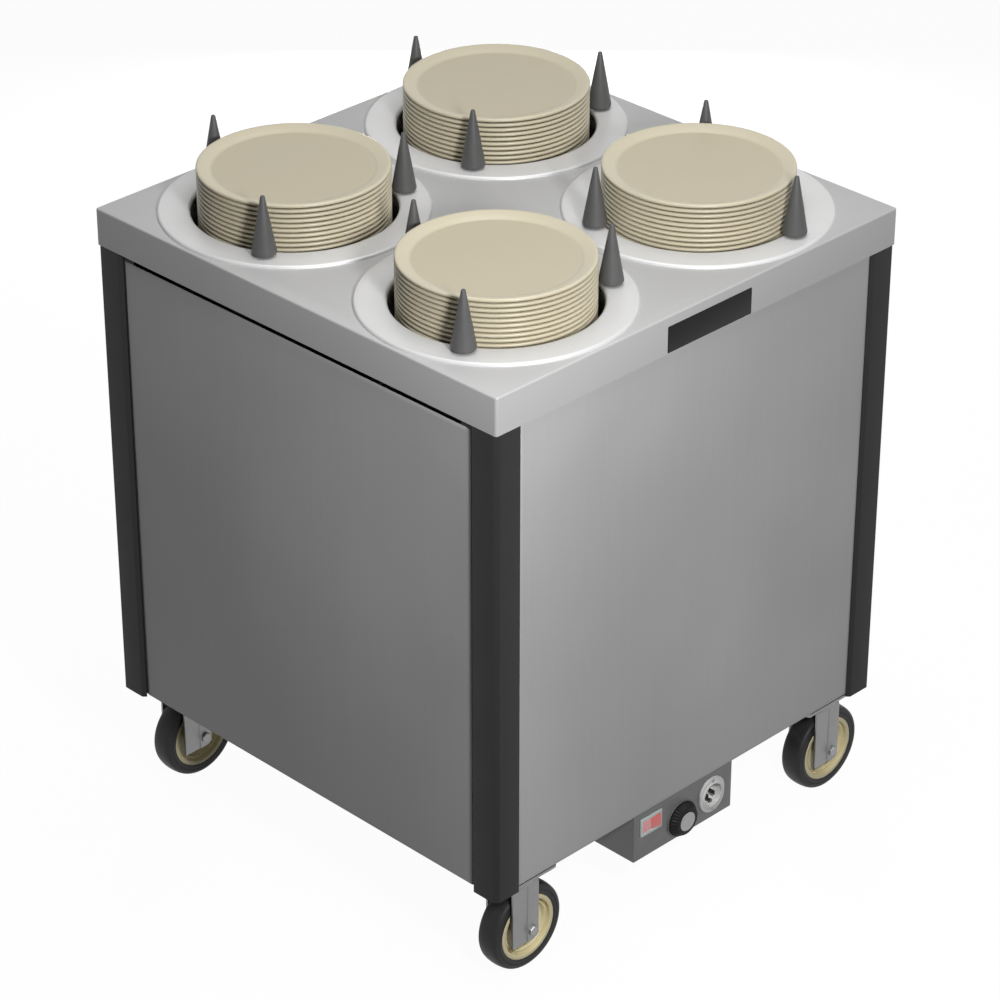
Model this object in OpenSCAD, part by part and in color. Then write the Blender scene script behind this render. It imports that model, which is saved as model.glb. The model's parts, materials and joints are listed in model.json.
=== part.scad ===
// Heated four-well plate dispenser cart on casters.
// The origin is on the floor under the middle of the deck, +Z up, controls on the -Y face.

/* [Cabinet] */
// Width and depth of the top deck
cart_w = 737; // [730:1:790]
// Height of the deck above the floor
deck_z = 894.5; // [870:0.5:960]
// Depth of the deck's folded skirt
skirt_h = 52; // [48:1:70]
// Thickness of the deck sheet
deck_sheet = 2; // [1.5:0.1:2.6]
// Rounding of the deck's upright corners
deck_corner_r = 4; // [3:0.5:6]
// Thickness of the side panels
panel_sheet = 1.5; // [1:0.1:2.5]
// How far the panels lie behind the deck's sides
panel_inset = 4.3; // [3.6:0.1:5.5]
// Shadow gap between the side panels and the deck's skirt
panel_top_gap = 8; // [4:0.5:12]
// Gap between the side panels and the corner bumpers
panel_side_gap = 3.5; // [1:0.5:6]
// Length of each bumper leg along a side
bumper_leg = 45.5; // [40:0.5:52]
// Chamfer on the outer corner of a bumper
bumper_chamfer = 6; // [3:0.5:10]
// How far the panels start above the frame's underside
panel_lift = 2.5; // [1:0.5:4]
// How far the bumpers reach below the panels
bumper_drop = 4.5; // [2:0.5:6]

/* [Frame] */
// Leg length of the frame's angle section
frame_leg = 40; // [30:1:50]
// Thickness of the frame's angle section
frame_t = 3; // [2:0.5:4]
// Thickness of the gussets over the casters
gusset_t = 4; // [3:0.5:6]
// Leg length of the corner posts
post_leg = 60; // [55:1:70]
// Thickness of the corner posts
post_t = 3; // [2:0.5:4]
// Thickness of the floor pan
pan_sheet = 1.5; // [1:0.1:3]
// Width of the channels under the deck
brace_w = 24; // [16:1:30]
// Depth of the channels under the deck
brace_h = 38; // [20:1:40]
// Thickness of the channels under the deck
brace_t = 2; // [1.5:0.1:3]

/* [Wells] */
// Gap between neighbouring flange rings
well_gap = 12; // [6:0.5:20]
// Bare deck between a flange ring and the deck's side
deck_edge = 4.5; // [3:0.5:10]
// Width of a flange ring from its outer edge to the well's mouth
ring_w = 43.5; // [38:0.5:50]
// How far a flange ring laps over the deck round its cut-out
ring_lap = 20; // [14:0.5:24]
// Height of a flange ring's face above the deck
ring_rise = 4; // [3.5:0.5:6]
// Thickness of the flange ring and tube sheet
ring_sheet = 2; // [1.2:0.1:2.4]
// Step from a well's mouth out to its tube
mouth_step = 0.5; // [0.5:0.5:2]
// Thickness of a well tube
tube_t = 1.2; // [0.8:0.1:2]
// Width of a well tube's hanging flange
tube_flange_w = 27.8; // [25:0.2:30]
// Travel of a plate carrier from the top to the bottom stop
carrier_travel = 345; // [250:5:350]
// Height of the straps between a carrier's platform and its spider
carrier_drop = 230; // [200:5:240]
// Clearance between a carrier's platform and its tube
platform_gap = 18; // [13:0.5:22]
// Width of a spider arm
arm_w = 12; // [8:1:16]
// Outer diameter of a carrier spring
spring_d = 11; // [8:0.5:14]

/* [Plates] */
// Clearance between the plates and their tube
plate_gap = 9.5; // [8:0.5:14]
// Height from one plate to the next in the stack
plate_pitch = 6.8; // [6.2:0.1:7.6]
// Plates on each carrier
plate_count = 13; // [10:1:14]
// Height of the top plate's rim above the deck
stack_rise = 64; // [55:1:72]
// Depth of a plate's dish below its rim
dish_depth = 6.2; // [5:0.1:8]
// Width of a plate's sloping rim
rim_w = 19.5; // [14:0.5:26]
// Thickness of a plate
plate_t = 4; // [3:0.1:5]

/* [Guides] */
// Height of a plate guide above its flange ring
guide_h = 82; // [70:1:100]
// Diameter of a plate guide near its base
guide_base_d = 32.8; // [26:0.2:36]
// Diameter of a plate guide's tip
guide_tip_d = 5.8; // [4:0.2:10]
// How far outside a well's mouth the guides are centred
guide_out = 12.5; // [12:0.5:16]

/* [Casters] */
// Wheel diameter
wheel_d = 127; // [119:1:130]
// Tread width of the tyre
tread_w = 34; // [30:1:36]
// Diameter of the wheel hub where the tyre seats
hub_d = 95.4; // [85:0.2:100]
// Clearance between a wheel and its fork's crown
fork_room = 14; // [11:0.5:20]
// How far a wheel's axle trails its swivel
trail = 18; // [14:0.5:22]
// Distance from the cart's left and right sides to the swivels
swivel_inset_x = 69; // [66:0.5:80]
// Distance from the cart's front and rear sides to the swivels
swivel_inset_y = 44.5; // [44.5:0.5:60]
// Length of a caster's top plate
top_plate_l = 101.6; // [98:0.2:104]
// Width of a caster's top plate
top_plate_w = 76.2; // [74:0.2:76.2]
// Distance from a top plate's ends to its bolts
bolt_in_x = 10.8; // [9.8:0.2:13]
// Distance from a top plate's long sides to its bolts
bolt_in_y = 11.1; // [9.5:0.2:12]
// Width of a fork over its legs
fork_w = 50; // [48:0.5:56]
// Breadth of a fork leg
leg_w = 47.5; // [44:0.5:50]
// Sheet thickness of a fork
fork_t = 3; // [2.5:0.1:4]
// Diameter of the axle bolt
axle_d = 8; // [8:0.5:12]

/* [Controls] */
// Width of the control box
box_w = 193; // [186:1:230]
// Depth of the control box from front to back
box_depth = 270; // [265:5:300]
// Height of the control box
box_h = 83.5; // [80:0.5:90]
// How far the control box's face lies behind the deck's front
box_inset = 13.5; // [13.5:0.5:20]
// Sheet thickness of the control box
box_t = 1.5; // [1:0.1:2]
// Width of the rocker's bezel
bezel_w = 41; // [40.4:0.2:44]
// Height of the rocker's bezel
bezel_h = 28.5; // [27:0.5:32]
// Width of the rocker
rocker_w = 33; // [28:0.5:33]
// Height of the rocker
rocker_h = 19; // [16:0.5:19.5]
// Tilt of the rocker at rest
rocker_tilt = 6; // [4:0.5:8]
// Diameter of the knob's dial skirt
dial_d = 56; // [48:1:56]
// How far the knob stands out of the box
knob_proud = 12.6; // [11:0.2:13]
// Diameter of the knob's silver cap
knob_cap_d = 28; // [24:0.5:30]
// Width of the power inlet's flange
inlet_w = 47.6; // [46:0.2:52]
// Height of the power inlet's flange
inlet_h = 54.8; // [52:0.2:60]
// Width of the nameplate
name_w = 154; // [100:1:200]
// Height of the nameplate
name_h = 36.5; // [20:0.5:40]

/* [Hidden] */
$fn = 72;
cut = 1;
sink = 0.5;
fit = 0.05;
slack = 0.3;
arc_steps = 5;
hex = 6;
corners = 4;
thirds = 3;
turn = 360;
half_turn = 180;
quarter_turn = 90;

CORNERS = ["front_left", "front_right", "rear_left", "rear_right"];
side_x = [-1, 1, -1, 1];
side_y = [-1, -1, 1, 1];
// Direction of the first guide in each well
guide_turn = [89.5, 39, 92.5, 93];
well_nodes = ["flange_ring", "well_tube", "plate_carrier", "carrier_springs", "plate_stack",
    "plate_guides"];
caster_nodes = ["caster_fork", "caster_axle", "wheel_hub", "wheel_tyre"];
cabinet_nodes = ["top_deck", "deck_braces", "front_panel", "rear_panel", "left_panel", "right_panel",
    "corner_bumpers", "corner_posts", "base_frame", "floor_pan", "nameplate", "control_box",
    "rocker_bezel", "rocker_switch", "thermostat_knob", "thermostat", "power_inlet", "heater_element",
    "caster_plates", "fasteners"];

// Heights of a caster's parts
top_plate_t = 4;
race_h = 9;
crown_drop = 2.7;
crown_z = wheel_d + fork_room + fork_t;
head_z = crown_z + crown_drop;
race_z = head_z + slack;
caster_h = race_z + race_h + top_plate_t;

// Planes and heights of the cabinet
half_w = cart_w / 2;
frame_z = caster_h;
leg_z = frame_z + gusset_t;
pan_z = leg_z + frame_t;
pan_top = pan_z + pan_sheet;
panel_z = frame_z + panel_lift;
bumper_z = panel_z - bumper_drop;
skirt_z = deck_z - skirt_h;
deck_under = deck_z - deck_sheet;
panel_face = half_w - panel_inset;
post_face = panel_face - panel_sheet;
frame_face = post_face - post_t;
bumper_edge = half_w - bumper_leg;
bumper_t = panel_inset + panel_sheet;
panel_lap = 5.5;
gusset_l = top_plate_l + 20;
gusset_w = top_plate_w + 8;

// Wells
ring_d = (cart_w - well_gap) / 2 - deck_edge;
well_offset = (ring_d + well_gap) / 2;
mouth_d = ring_d - 2 * ring_w;
cutout_d = ring_d - 2 * ring_lap;
tube_d = mouth_d + 2 * mouth_step;
tube_flange_d = tube_d + 2 * tube_t + 2 * tube_flange_w;
platform_d = tube_d - 2 * platform_gap;
plate_d = tube_d - 2 * plate_gap;
lip_r = 5;
lip_drop = 9;
ring_edge_r = 4;
spacer_d = 12;
tube_hang = 9;
tube_flange_t = 1.5;
slot_play = 2;
tube_band = 28;
tube_top = deck_z - tube_hang;
spring_top = tube_top - tube_flange_t;
guide_r = mouth_d / 2 + guide_out;
ring_top = deck_z + ring_rise;
stud_d = 8;
stud_play = 0.3;
stud_reach = 8;
nut_af = 13;
nut_h = 6.5;

// Plate and carrier heights
foot_in = 32;
foot_d = plate_d - 2 * rim_w - 2 * foot_in;
foot_w = 6;
plate_play = 0.1;
rim_t = 3.6;
rim_edge = 1.2;
foot_h = plate_pitch - plate_t - plate_play;
stack_top = deck_z + stack_rise;
bottom_rim = stack_top - (plate_count - 1) * plate_pitch;
platform_top = bottom_rim - dish_depth - plate_t - foot_h;
platform_t = 2;
platform_rim = 12;
arm_t = 4;
arm_top = platform_top - platform_t - carrier_drop;
arm_z = arm_top - arm_t;
strap_t = 3;
strap_w = 20;
strap_in = 18;
strap_r = platform_d / 2 - strap_in;
hub_plate_d = 60;
tee_out = 13.8;
tee_r = tube_d / 2 + tube_t + tee_out;
tee_w = 10;
tee_l = 50;
spring_gap = 19;
hook_d = 2.4;
hook_l = 14;
springs_per_arm = 3;
tube_bottom = arm_z - carrier_travel - tube_band;
slot_top = arm_top + slot_play;
slot_bottom = arm_z - carrier_travel - slot_play;
slot_w = arm_w + 2 * slot_play;

// Guides
guide_foot_d = 15;
guide_foot_h = 1.2;
guide_round = 4;
guide_widest = 6;
tip_round = 1.2;

// Casters
swivel_x = half_w - swivel_inset_x;
swivel_y = half_w - swivel_inset_y;
axle_z = wheel_d / 2;
race_d = 66;
head_d = 62;
kingpin_d = 16;
kingpin_head_d = 24;
kingpin_head_h = 2.4;
crown_r = 8;
leg_back = 18.5;
leg_drop = 14.5;
leg_round = 3;
crease_in = 1.2;
crease_x = 28.5;
sleeve_d = 13;
sleeve_play = 0.1;
axle_head_af = 13;
axle_head_h = 3.5;
axle_tip = 2;
bolt_spacing_x = top_plate_l - 2 * bolt_in_x;
bolt_spacing_y = top_plate_w - 2 * bolt_in_y;
bolt_d = 8;
bolt_play = 0.5;
bolt_head_af = 13;
bolt_head_h = 5;
crown_tread = 4;
shoulder_w = 3;
tyre_fillet = 6;
hub_half = 16.5;
hub_rim = 5.7;
hub_step = 4;
hub_step_half = 11;
hub_web_half = 5;
hub_boss_d = 28;
hub_boss_half = 20;

// Controls
box_x = 0.5;
box_face = -(half_w - box_inset);
box_top = leg_z;
box_bottom_z = box_top - box_h;
box_left = box_x - box_w / 2;
// Bare widths before, between and after the three controls, in proportion
control_gaps = [12, 12, 7.7, 16.7];
gap_unit = (box_w - bezel_w - dial_d - inlet_w) / (control_gaps * [1, 1, 1, 1]);
rocker_x = box_left + control_gaps[0] * gap_unit + bezel_w / 2;
rocker_down = 34;
rocker_z = box_top - rocker_down;
bezel_proud = 2;
bezel_wall = 0.9;
bezel_land = 1.85;
bezel_deep = 20;
pocket_play = 0.35;
pocket_deep = 10;
cutout_play = 0.2;
pivot_d = 3;
pivot_l = 1.2;
pivot_in = 2;
rocker_mid = 2.5;
rocker_v = 9;
rocker_back = 4;
rocker_back_w = 16;
knob_x = rocker_x + bezel_w / 2 + control_gaps[1] * gap_unit + dial_d / 2;
knob_z = box_bottom_z + dial_d / 2;
dial_t = 1.5;
grip_d = 52;
grip_neck_d = 40;
grip_shoulder = 4;
cap_step = 0.8;
stem_d = 6;
stem_l = 16;
bushing_d = 10;
bushing_proud = 3;
knob_pocket_d = 14;
thermostat_w = 44;
thermostat_h = 32;
thermostat_deep = 30;
inlet_x = knob_x + dial_d / 2 + control_gaps[2] * gap_unit + inlet_w / 2;
inlet_down = 45;
inlet_z = box_top - inlet_down;
inlet_flat = 1;
inlet_flange_t = 4;
inlet_pocket_d = 34;
inlet_pocket_deep = 18;
inlet_body_d = 38;
inlet_body_deep = 26;
blade_t = 1.6;
blade_w = 6.4;
blade_l = 15;
blade_x = 6.35;
blade_z = -1;
earth_d = 4.8;
earth_z = -11;
name_x = 8;
name_t = 1;
name_up = 1.5;

// Heater
heater_ring_d = 200;
heater_tube_d = 8.5;
heater_rise = 28;
heater_play = 0.1;
heater_z = pan_top + heater_rise;
lead_x = 15;
lead_down = 24;
lead_hole_d = 12;
standoff_w = 12;

function arc(c, r, from, to) = [for (i = [0:arc_steps])
    let (a = from + (to - from) * i / arc_steps) [c[0] + r * cos(a), c[1] + r * sin(a)]];

// A box given by its lowest and highest corners
module span(lo, hi) {
    translate(lo) cube(hi - lo);
}

// A hexagon by its width across flats
module hex_bar(af, h) {
    cylinder(d = af / cos(half_turn / hex), h = h, $fn = hex);
}

// A rectangle about the origin with round corners
module round_rect(w, d, r) {
    square([w - 2 * r, d], center = true);
    square([w, d - 2 * r], center = true);
    for (x = [-1, 1], y = [-1, 1]) translate([x * (w / 2 - r), y * (d / 2 - r)]) circle(r);
}

module at_corners() {
    for (x = [0, 1], y = [0, 1]) mirror([x, 0, 0]) mirror([0, y, 0]) children();
}

module at_wells() {
    for (i = [0:corners - 1]) at_well(i) children();
}

module at_well(i) {
    translate([side_x[i] * well_offset, side_y[i] * well_offset, 0]) children();
}

module at_guides(i) {
    for (k = [0:thirds - 1]) rotate(guide_turn[i] + k * turn / thirds)
        translate([guide_r, 0, 0]) children();
}

module at_arms(i) {
    for (k = [0:thirds - 1]) rotate(guide_turn[i] + (k + 1 / 2) * turn / thirds) children();
}

module at_swivel(i) {
    translate([side_x[i] * swivel_x, side_y[i] * swivel_y, 0]) children();
}

module at_axle(i) {
    at_swivel(i) translate([trail, 0, axle_z]) rotate([-quarter_turn, 0, 0]) children();
}

module at_bolts(i) {
    at_swivel(i) for (x = [-1, 1], y = [-1, 1])
        translate([x * bolt_spacing_x / 2, y * bolt_spacing_y / 2, 0]) children();
}

// Drills along -Y through the control box's face
module face_hole(x, z) {
    translate([x, box_face, z]) rotate([quarter_turn, 0, 0]) children();
}

// Cabinet

module top_deck() {
    color("silver") difference() {
        translate([0, 0, skirt_z]) linear_extrude(skirt_h) round_rect(cart_w, cart_w, deck_corner_r);
        translate([0, 0, skirt_z - cut]) linear_extrude(skirt_h - deck_sheet + cut)
            round_rect(cart_w - 2 * deck_sheet, cart_w - 2 * deck_sheet, deck_corner_r - deck_sheet / 2);
        at_wells() translate([0, 0, deck_under - cut]) cylinder(d = cutout_d, h = deck_sheet + 2 * cut);
    }
}

module deck_braces() {
    reach = half_w - deck_sheet;
    color("silver") difference() {
        union() for (a = [0, quarter_turn]) rotate(a)
            span([-reach, -brace_w / 2, deck_under - brace_h], [reach, brace_w / 2, deck_under]);
        for (a = [0, quarter_turn]) rotate(a)
            span([-reach - cut, brace_t - brace_w / 2, deck_under - brace_h - cut],
                [reach + cut, brace_w / 2 - brace_t, deck_under - brace_t]);
    }
}

module panel(half, top) {
    color("silver") span([-half, -panel_face, panel_z], [half, -post_face, top]);
}

module front_panel() {
    panel(bumper_edge, skirt_z + panel_lap);
}

module rear_panel() {
    rotate(half_turn) panel(bumper_edge, skirt_z + panel_lap);
}

module left_panel() {
    rotate(-quarter_turn) panel(bumper_edge - panel_side_gap, skirt_z - panel_top_gap);
}

module right_panel() {
    rotate(quarter_turn) panel(bumper_edge - panel_side_gap, skirt_z - panel_top_gap);
}

module corner_bumpers() {
    color("#333333") at_corners() translate([-half_w, -half_w, bumper_z]) linear_extrude(skirt_z - bumper_z)
        polygon([
            [bumper_chamfer, 0], [bumper_leg - panel_inset, 0], [bumper_leg, panel_inset],
            [bumper_leg, bumper_t], [bumper_t, bumper_t], [bumper_t, bumper_leg],
            [panel_inset, bumper_leg], [0, bumper_leg - panel_inset], [0, bumper_chamfer]
        ]);
}

module corner_posts() {
    color("gray") at_corners() difference() {
        span([-post_face, -post_face, leg_z], [post_leg - post_face, post_leg - post_face, deck_under]);
        span([post_t - post_face, post_t - post_face, leg_z - cut],
            [post_leg - post_face + cut, post_leg - post_face + cut, deck_under + cut]);
    }
}

module base_frame() {
    inner = frame_face - frame_t;
    bay = frame_face - frame_leg;
    color("gray") difference() {
        union() {
            span([-frame_face, -frame_face, leg_z], [frame_face, frame_face, leg_z + frame_leg]);
            at_corners() span([-frame_face, -frame_face, frame_z],
                [gusset_l - frame_face, gusset_w - frame_face, leg_z]);
        }
        span([-inner, -inner, pan_z], [inner, inner, leg_z + frame_leg + cut]);
        at_corners() span([-bay, -bay, frame_z - cut], [cut, cut, pan_z + cut]);
        for (i = [0:corners - 1]) at_bolts(i) translate([0, 0, frame_z - cut])
            cylinder(d = bolt_d + 2 * fit, h = gusset_t + frame_t + 2 * cut);
    }
}

module floor_pan() {
    half = frame_face - frame_t - slack;
    color("silver") difference() {
        union() {
            span([-half, -half, pan_z], [half, half, pan_top]);
            for (k = [0:thirds - 1]) rotate(k * turn / thirds)
                translate([heater_ring_d / 2, 0, pan_top - sink])
                    linear_extrude(heater_rise - heater_tube_d / 2 + sink - heater_play)
                        square(standoff_w, center = true);
        }
        for (x = [-1, 1]) translate([x * lead_x, -heater_ring_d / 2, pan_z - cut])
            cylinder(d = lead_hole_d, h = pan_sheet + 2 * cut);
        for (i = [0:corners - 1]) at_bolts(i) translate([0, 0, pan_z - cut])
            cylinder(d = bolt_d + 2 * bolt_play, h = pan_sheet + 2 * cut);
    }
}

module nameplate() {
    low = skirt_z + name_up;
    color("#222222") span([name_x - name_w / 2, -half_w - name_t, low],
        [name_x + name_w / 2, -half_w, low + name_h]);
}

// Controls

module control_box() {
    left = box_left;
    right = left + box_w;
    back = box_face + box_depth;
    color("dimgray") difference() {
        union() {
            span([left, box_face, box_bottom_z], [right, back, box_top]);
            span([left, frame_leg - frame_face, box_bottom_z], [right, back, pan_z]);
        }
        span([left + box_t, box_face + box_t, box_bottom_z + box_t],
            [right - box_t, back - box_t, pan_z + cut]);
        translate([rocker_x, box_face - cut, rocker_z]) rotate([-quarter_turn, 0, 0])
            linear_extrude(box_t + 2 * cut)
                square([housing_w() + 2 * cutout_play, housing_h() + 2 * cutout_play], center = true);
        translate([knob_x, box_face - cut, knob_z]) rotate([-quarter_turn, 0, 0])
            cylinder(d = bushing_d + 2 * fit, h = box_t + 2 * cut);
        translate([inlet_x, box_face - cut, inlet_z]) rotate([-quarter_turn, 0, 0])
            cylinder(d = inlet_body_d + 2 * fit, h = box_t + 2 * cut);
    }
}

function rocker_reach() = norm([rocker_w / 2, rocker_mid + rocker_w / 2 * tan(rocker_v)]);
function pocket_w() = 2 * (rocker_reach() + pocket_play);
function pocket_h() = rocker_h + 2 * pocket_play;
function housing_w() = pocket_w() + 2 * bezel_wall;
function housing_h() = pocket_h() + 2 * bezel_land;

module rocker_bezel() {
    color("lightgray") translate([rocker_x, box_face, rocker_z]) difference() {
        union() {
            span([-bezel_w / 2, -bezel_proud, -bezel_h / 2], [bezel_w / 2, 0, bezel_h / 2]);
            span([-housing_w() / 2, 0, -housing_h() / 2], [housing_w() / 2, bezel_deep, housing_h() / 2]);
        }
        span([-pocket_w() / 2, -bezel_proud - cut, -pocket_h() / 2],
            [pocket_w() / 2, pocket_deep, pocket_h() / 2]);
        translate([0, pivot_in, -pocket_h() / 2 - pivot_l])
            cylinder(d = pivot_d + 2 * fit, h = pocket_h() + 2 * pivot_l);
    }
}

module rocker_switch() {
    end = rocker_mid + rocker_w / 2 * tan(rocker_v);
    color("red") translate([rocker_x, box_face + pivot_in, rocker_z]) rotate(-rocker_tilt) {
        translate([0, 0, -rocker_h / 2]) linear_extrude(rocker_h) polygon([
            [-rocker_w / 2, -end], [0, -rocker_mid], [rocker_w / 2, -end],
            [rocker_w / 2, 0], [rocker_back_w / 2, rocker_back], [-rocker_back_w / 2, rocker_back],
            [-rocker_w / 2, 0]
        ]);
        translate([0, 0, -rocker_h / 2 - pivot_l]) cylinder(d = pivot_d, h = rocker_h + 2 * pivot_l);
    }
}

module thermostat_knob() {
    front = knob_proud - cap_step;
    color("#222222") face_hole(knob_x, knob_z) difference() {
        union() {
            rotate_extrude() polygon([
                [0, slack], [dial_d / 2, slack], [dial_d / 2, dial_t], [grip_d / 2, dial_t],
                [grip_d / 2, grip_shoulder], [grip_neck_d / 2, front], [knob_cap_d / 2, front],
                [knob_cap_d / 2, knob_proud], [0, knob_proud]
            ]);
            translate([0, 0, -stem_l]) cylinder(d = stem_d, h = stem_l + slack + dial_t);
        }
        difference() {
            translate([0, 0, slack - cut]) cylinder(d = knob_pocket_d, h = bushing_proud + cut + slack);
            translate([0, 0, -cut]) cylinder(d = stem_d, h = bushing_proud + 2 * cut + slack);
        }
    }
}

module thermostat() {
    color("gray") face_hole(knob_x, knob_z) difference() {
        union() {
            translate([0, 0, -box_t - thermostat_deep]) linear_extrude(thermostat_deep)
                square([thermostat_w, thermostat_h], center = true);
            translate([0, 0, -box_t - thermostat_deep])
                cylinder(d = bushing_d, h = box_t + thermostat_deep + bushing_proud);
        }
        translate([0, 0, -stem_l - slack])
            cylinder(d = stem_d + 2 * fit, h = stem_l + slack + bushing_proud + cut);
    }
}

module power_inlet() {
    color("lightgray") face_hole(inlet_x, inlet_z) {
        difference() {
            union() {
                linear_extrude(inlet_flange_t) round_rect(inlet_w, inlet_h, (inlet_w - inlet_flat) / 2);
                translate([0, 0, -inlet_body_deep]) cylinder(d = inlet_body_d, h = inlet_body_deep + cut);
            }
            translate([0, 0, inlet_flange_t - inlet_pocket_deep])
                cylinder(d = inlet_pocket_d, h = inlet_pocket_deep + cut);
        }
        translate([0, 0, inlet_flange_t - inlet_pocket_deep - cut]) {
            for (x = [-1, 1]) translate([x * blade_x, blade_z, 0])
                linear_extrude(blade_l + cut) square([blade_t, blade_w], center = true);
            translate([0, earth_z, 0]) cylinder(d = earth_d, h = blade_l + cut);
        }
    }
}

module heater_element() {
    color("dimgray") {
        translate([0, 0, heater_z]) rotate_extrude()
            translate([heater_ring_d / 2, 0]) circle(d = heater_tube_d);
        for (x = [-1, 1]) translate([x * lead_x, -heater_ring_d / 2, pan_z - lead_down])
            cylinder(d = heater_tube_d, h = heater_z - pan_z + lead_down);
    }
}

// Wells

module flange_ring(i) {
    r_out = ring_d / 2;
    r_in = mouth_d / 2;
    flat_in = r_in + lip_r;
    color("gainsboro") translate([0, 0, deck_z]) difference() {
        rotate_extrude() polygon(concat(
            arc([r_out - ring_edge_r, ring_rise - ring_edge_r], ring_edge_r, 0, quarter_turn),
            arc([flat_in, ring_rise - lip_r], lip_r, quarter_turn, half_turn),
            [[r_in, ring_rise - lip_drop], [r_in + ring_sheet, ring_rise - lip_drop]],
            arc([flat_in, ring_rise - lip_r], lip_r - ring_sheet, half_turn, quarter_turn),
            arc([r_out - ring_edge_r, ring_rise - ring_edge_r], ring_edge_r - ring_sheet, quarter_turn, 0)
        ));
        at_guides(i) translate([0, 0, -cut]) cylinder(d = stud_d + 2 * stud_play, h = ring_rise + 2 * cut);
    }
}

module well_tube(i) {
    spacer_h = ring_rise - ring_sheet + tube_hang;
    color("darkgray") difference() {
        union() {
            translate([0, 0, tube_bottom]) cylinder(d = tube_d + 2 * tube_t, h = tube_top - tube_bottom);
            translate([0, 0, spring_top]) cylinder(d = tube_flange_d, h = tube_flange_t);
            at_guides(i) translate([0, 0, spring_top])
                cylinder(d = spacer_d, h = spacer_h + tube_flange_t);
        }
        translate([0, 0, tube_bottom - cut]) cylinder(d = tube_d, h = tube_top - tube_bottom + 2 * cut);
        at_arms(i) span([0, -slot_w / 2, slot_bottom],
            [tube_d / 2 + tube_t + cut, slot_w / 2, slot_top]);
        at_guides(i) translate([0, 0, spring_top - cut])
            cylinder(d = stud_d + 2 * stud_play, h = spacer_h + tube_flange_t + 2 * cut);
    }
}

module plate_carrier(i) {
    color("silver") {
        difference() {
            translate([0, 0, platform_top - platform_rim]) cylinder(d = platform_d, h = platform_rim);
            translate([0, 0, platform_top - platform_rim - cut])
                cylinder(d = platform_d - 2 * platform_t, h = platform_rim - platform_t + cut);
        }
        at_arms(i) {
            span([strap_r, -strap_w / 2, arm_z],
                [strap_r + strap_t, strap_w / 2, platform_top - platform_t / 2]);
            span([0, -arm_w / 2, arm_z], [tee_r, arm_w / 2, arm_top]);
            span([tee_r - tee_w / 2, -tee_l / 2, arm_z], [tee_r + tee_w / 2, tee_l / 2, arm_top]);
        }
        translate([0, 0, arm_z]) cylinder(d = hub_plate_d, h = arm_t);
    }
}

module carrier_springs(i) {
    length = spring_top - arm_top;
    color("gray") at_arms(i) for (k = [0:springs_per_arm - 1])
        translate([tee_r, (k - (springs_per_arm - 1) / 2) * spring_gap, arm_top]) {
            translate([0, 0, hook_l]) cylinder(d = spring_d, h = length - 2 * hook_l);
            cylinder(d = hook_d, h = length);
        }
}

module plate() {
    r = plate_d / 2;
    flat_r = r - rim_w;
    under_r = flat_r - rim_edge;
    rotate_extrude() polygon([
        [0, -dish_depth], [flat_r, -dish_depth], [r - rim_edge, 0], [r, -rim_edge], [r, rim_edge - rim_t],
        [r - rim_edge, -rim_t], [under_r, -dish_depth - plate_t], [foot_d / 2, -dish_depth - plate_t],
        [foot_d / 2 - rim_edge / 2, -dish_depth - plate_t - foot_h],
        [foot_d / 2 - foot_w, -dish_depth - plate_t - foot_h],
        [foot_d / 2 - foot_w - rim_edge / 2, -dish_depth - plate_t], [0, -dish_depth - plate_t]
    ]);
}

module plate_stack() {
    color("tan") for (k = [0:plate_count - 1]) translate([0, 0, bottom_rim + k * plate_pitch]) plate();
}

module plate_guide() {
    base_r = guide_base_d / 2;
    tip_r = guide_tip_d / 2;
    rotate_extrude() polygon(concat(
        [[0, 0], [guide_foot_d / 2, 0], [guide_foot_d / 2, guide_foot_h]],
        arc([base_r - guide_round, guide_foot_h + guide_round], guide_round, -quarter_turn, 0),
        [[base_r, guide_foot_h + guide_widest], [tip_r, guide_h - tip_round]],
        [[tip_r - tip_round, guide_h], [0, guide_h]]
    ));
    stud_z = spring_top - ring_top - stud_reach;
    translate([0, 0, stud_z]) cylinder(d = stud_d, h = guide_foot_h - stud_z);
}

module plate_guides(i) {
    color("#3a3a3a") at_guides(i) translate([0, 0, ring_top]) plate_guide();
}

// Casters

module caster_plates() {
    color("gray") for (i = [0:corners - 1]) at_swivel(i) difference() {
        union() {
            translate([0, 0, caster_h - top_plate_t]) linear_extrude(top_plate_t)
                round_rect(top_plate_l, top_plate_w, tyre_fillet);
            translate([0, 0, race_z]) cylinder(d = race_d, h = race_h + top_plate_t / 2);
        }
        translate([0, 0, race_z - cut])
            cylinder(d = kingpin_d + 2 * fit, h = race_h + top_plate_t + 2 * cut);
        translate([0, 0, caster_h - kingpin_head_h - slack])
            cylinder(d = kingpin_head_d + 2 * slack, h = kingpin_head_h + slack + cut);
        for (x = [-1, 1], y = [-1, 1])
            translate([x * bolt_spacing_x / 2, y * bolt_spacing_y / 2, race_z])
                cylinder(d = bolt_d + 2 * bolt_play, h = race_h + top_plate_t + cut);
    }
}

// Outline of a fork leg seen from the side, about the swivel's axis
module leg_outline() {
    bottom = axle_z - leg_drop;
    translate([-leg_back, axle_z]) square([leg_w, crown_z - axle_z + cut]);
    translate([trail, axle_z]) circle(leg_drop);
    translate([leg_round - leg_back, bottom]) square([leg_back + trail - leg_round, leg_drop]);
    translate([-leg_back, bottom + leg_round]) square([leg_back + trail, crown_z - bottom - leg_round]);
    translate([leg_round - leg_back, bottom + leg_round]) circle(leg_round);
}

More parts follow.
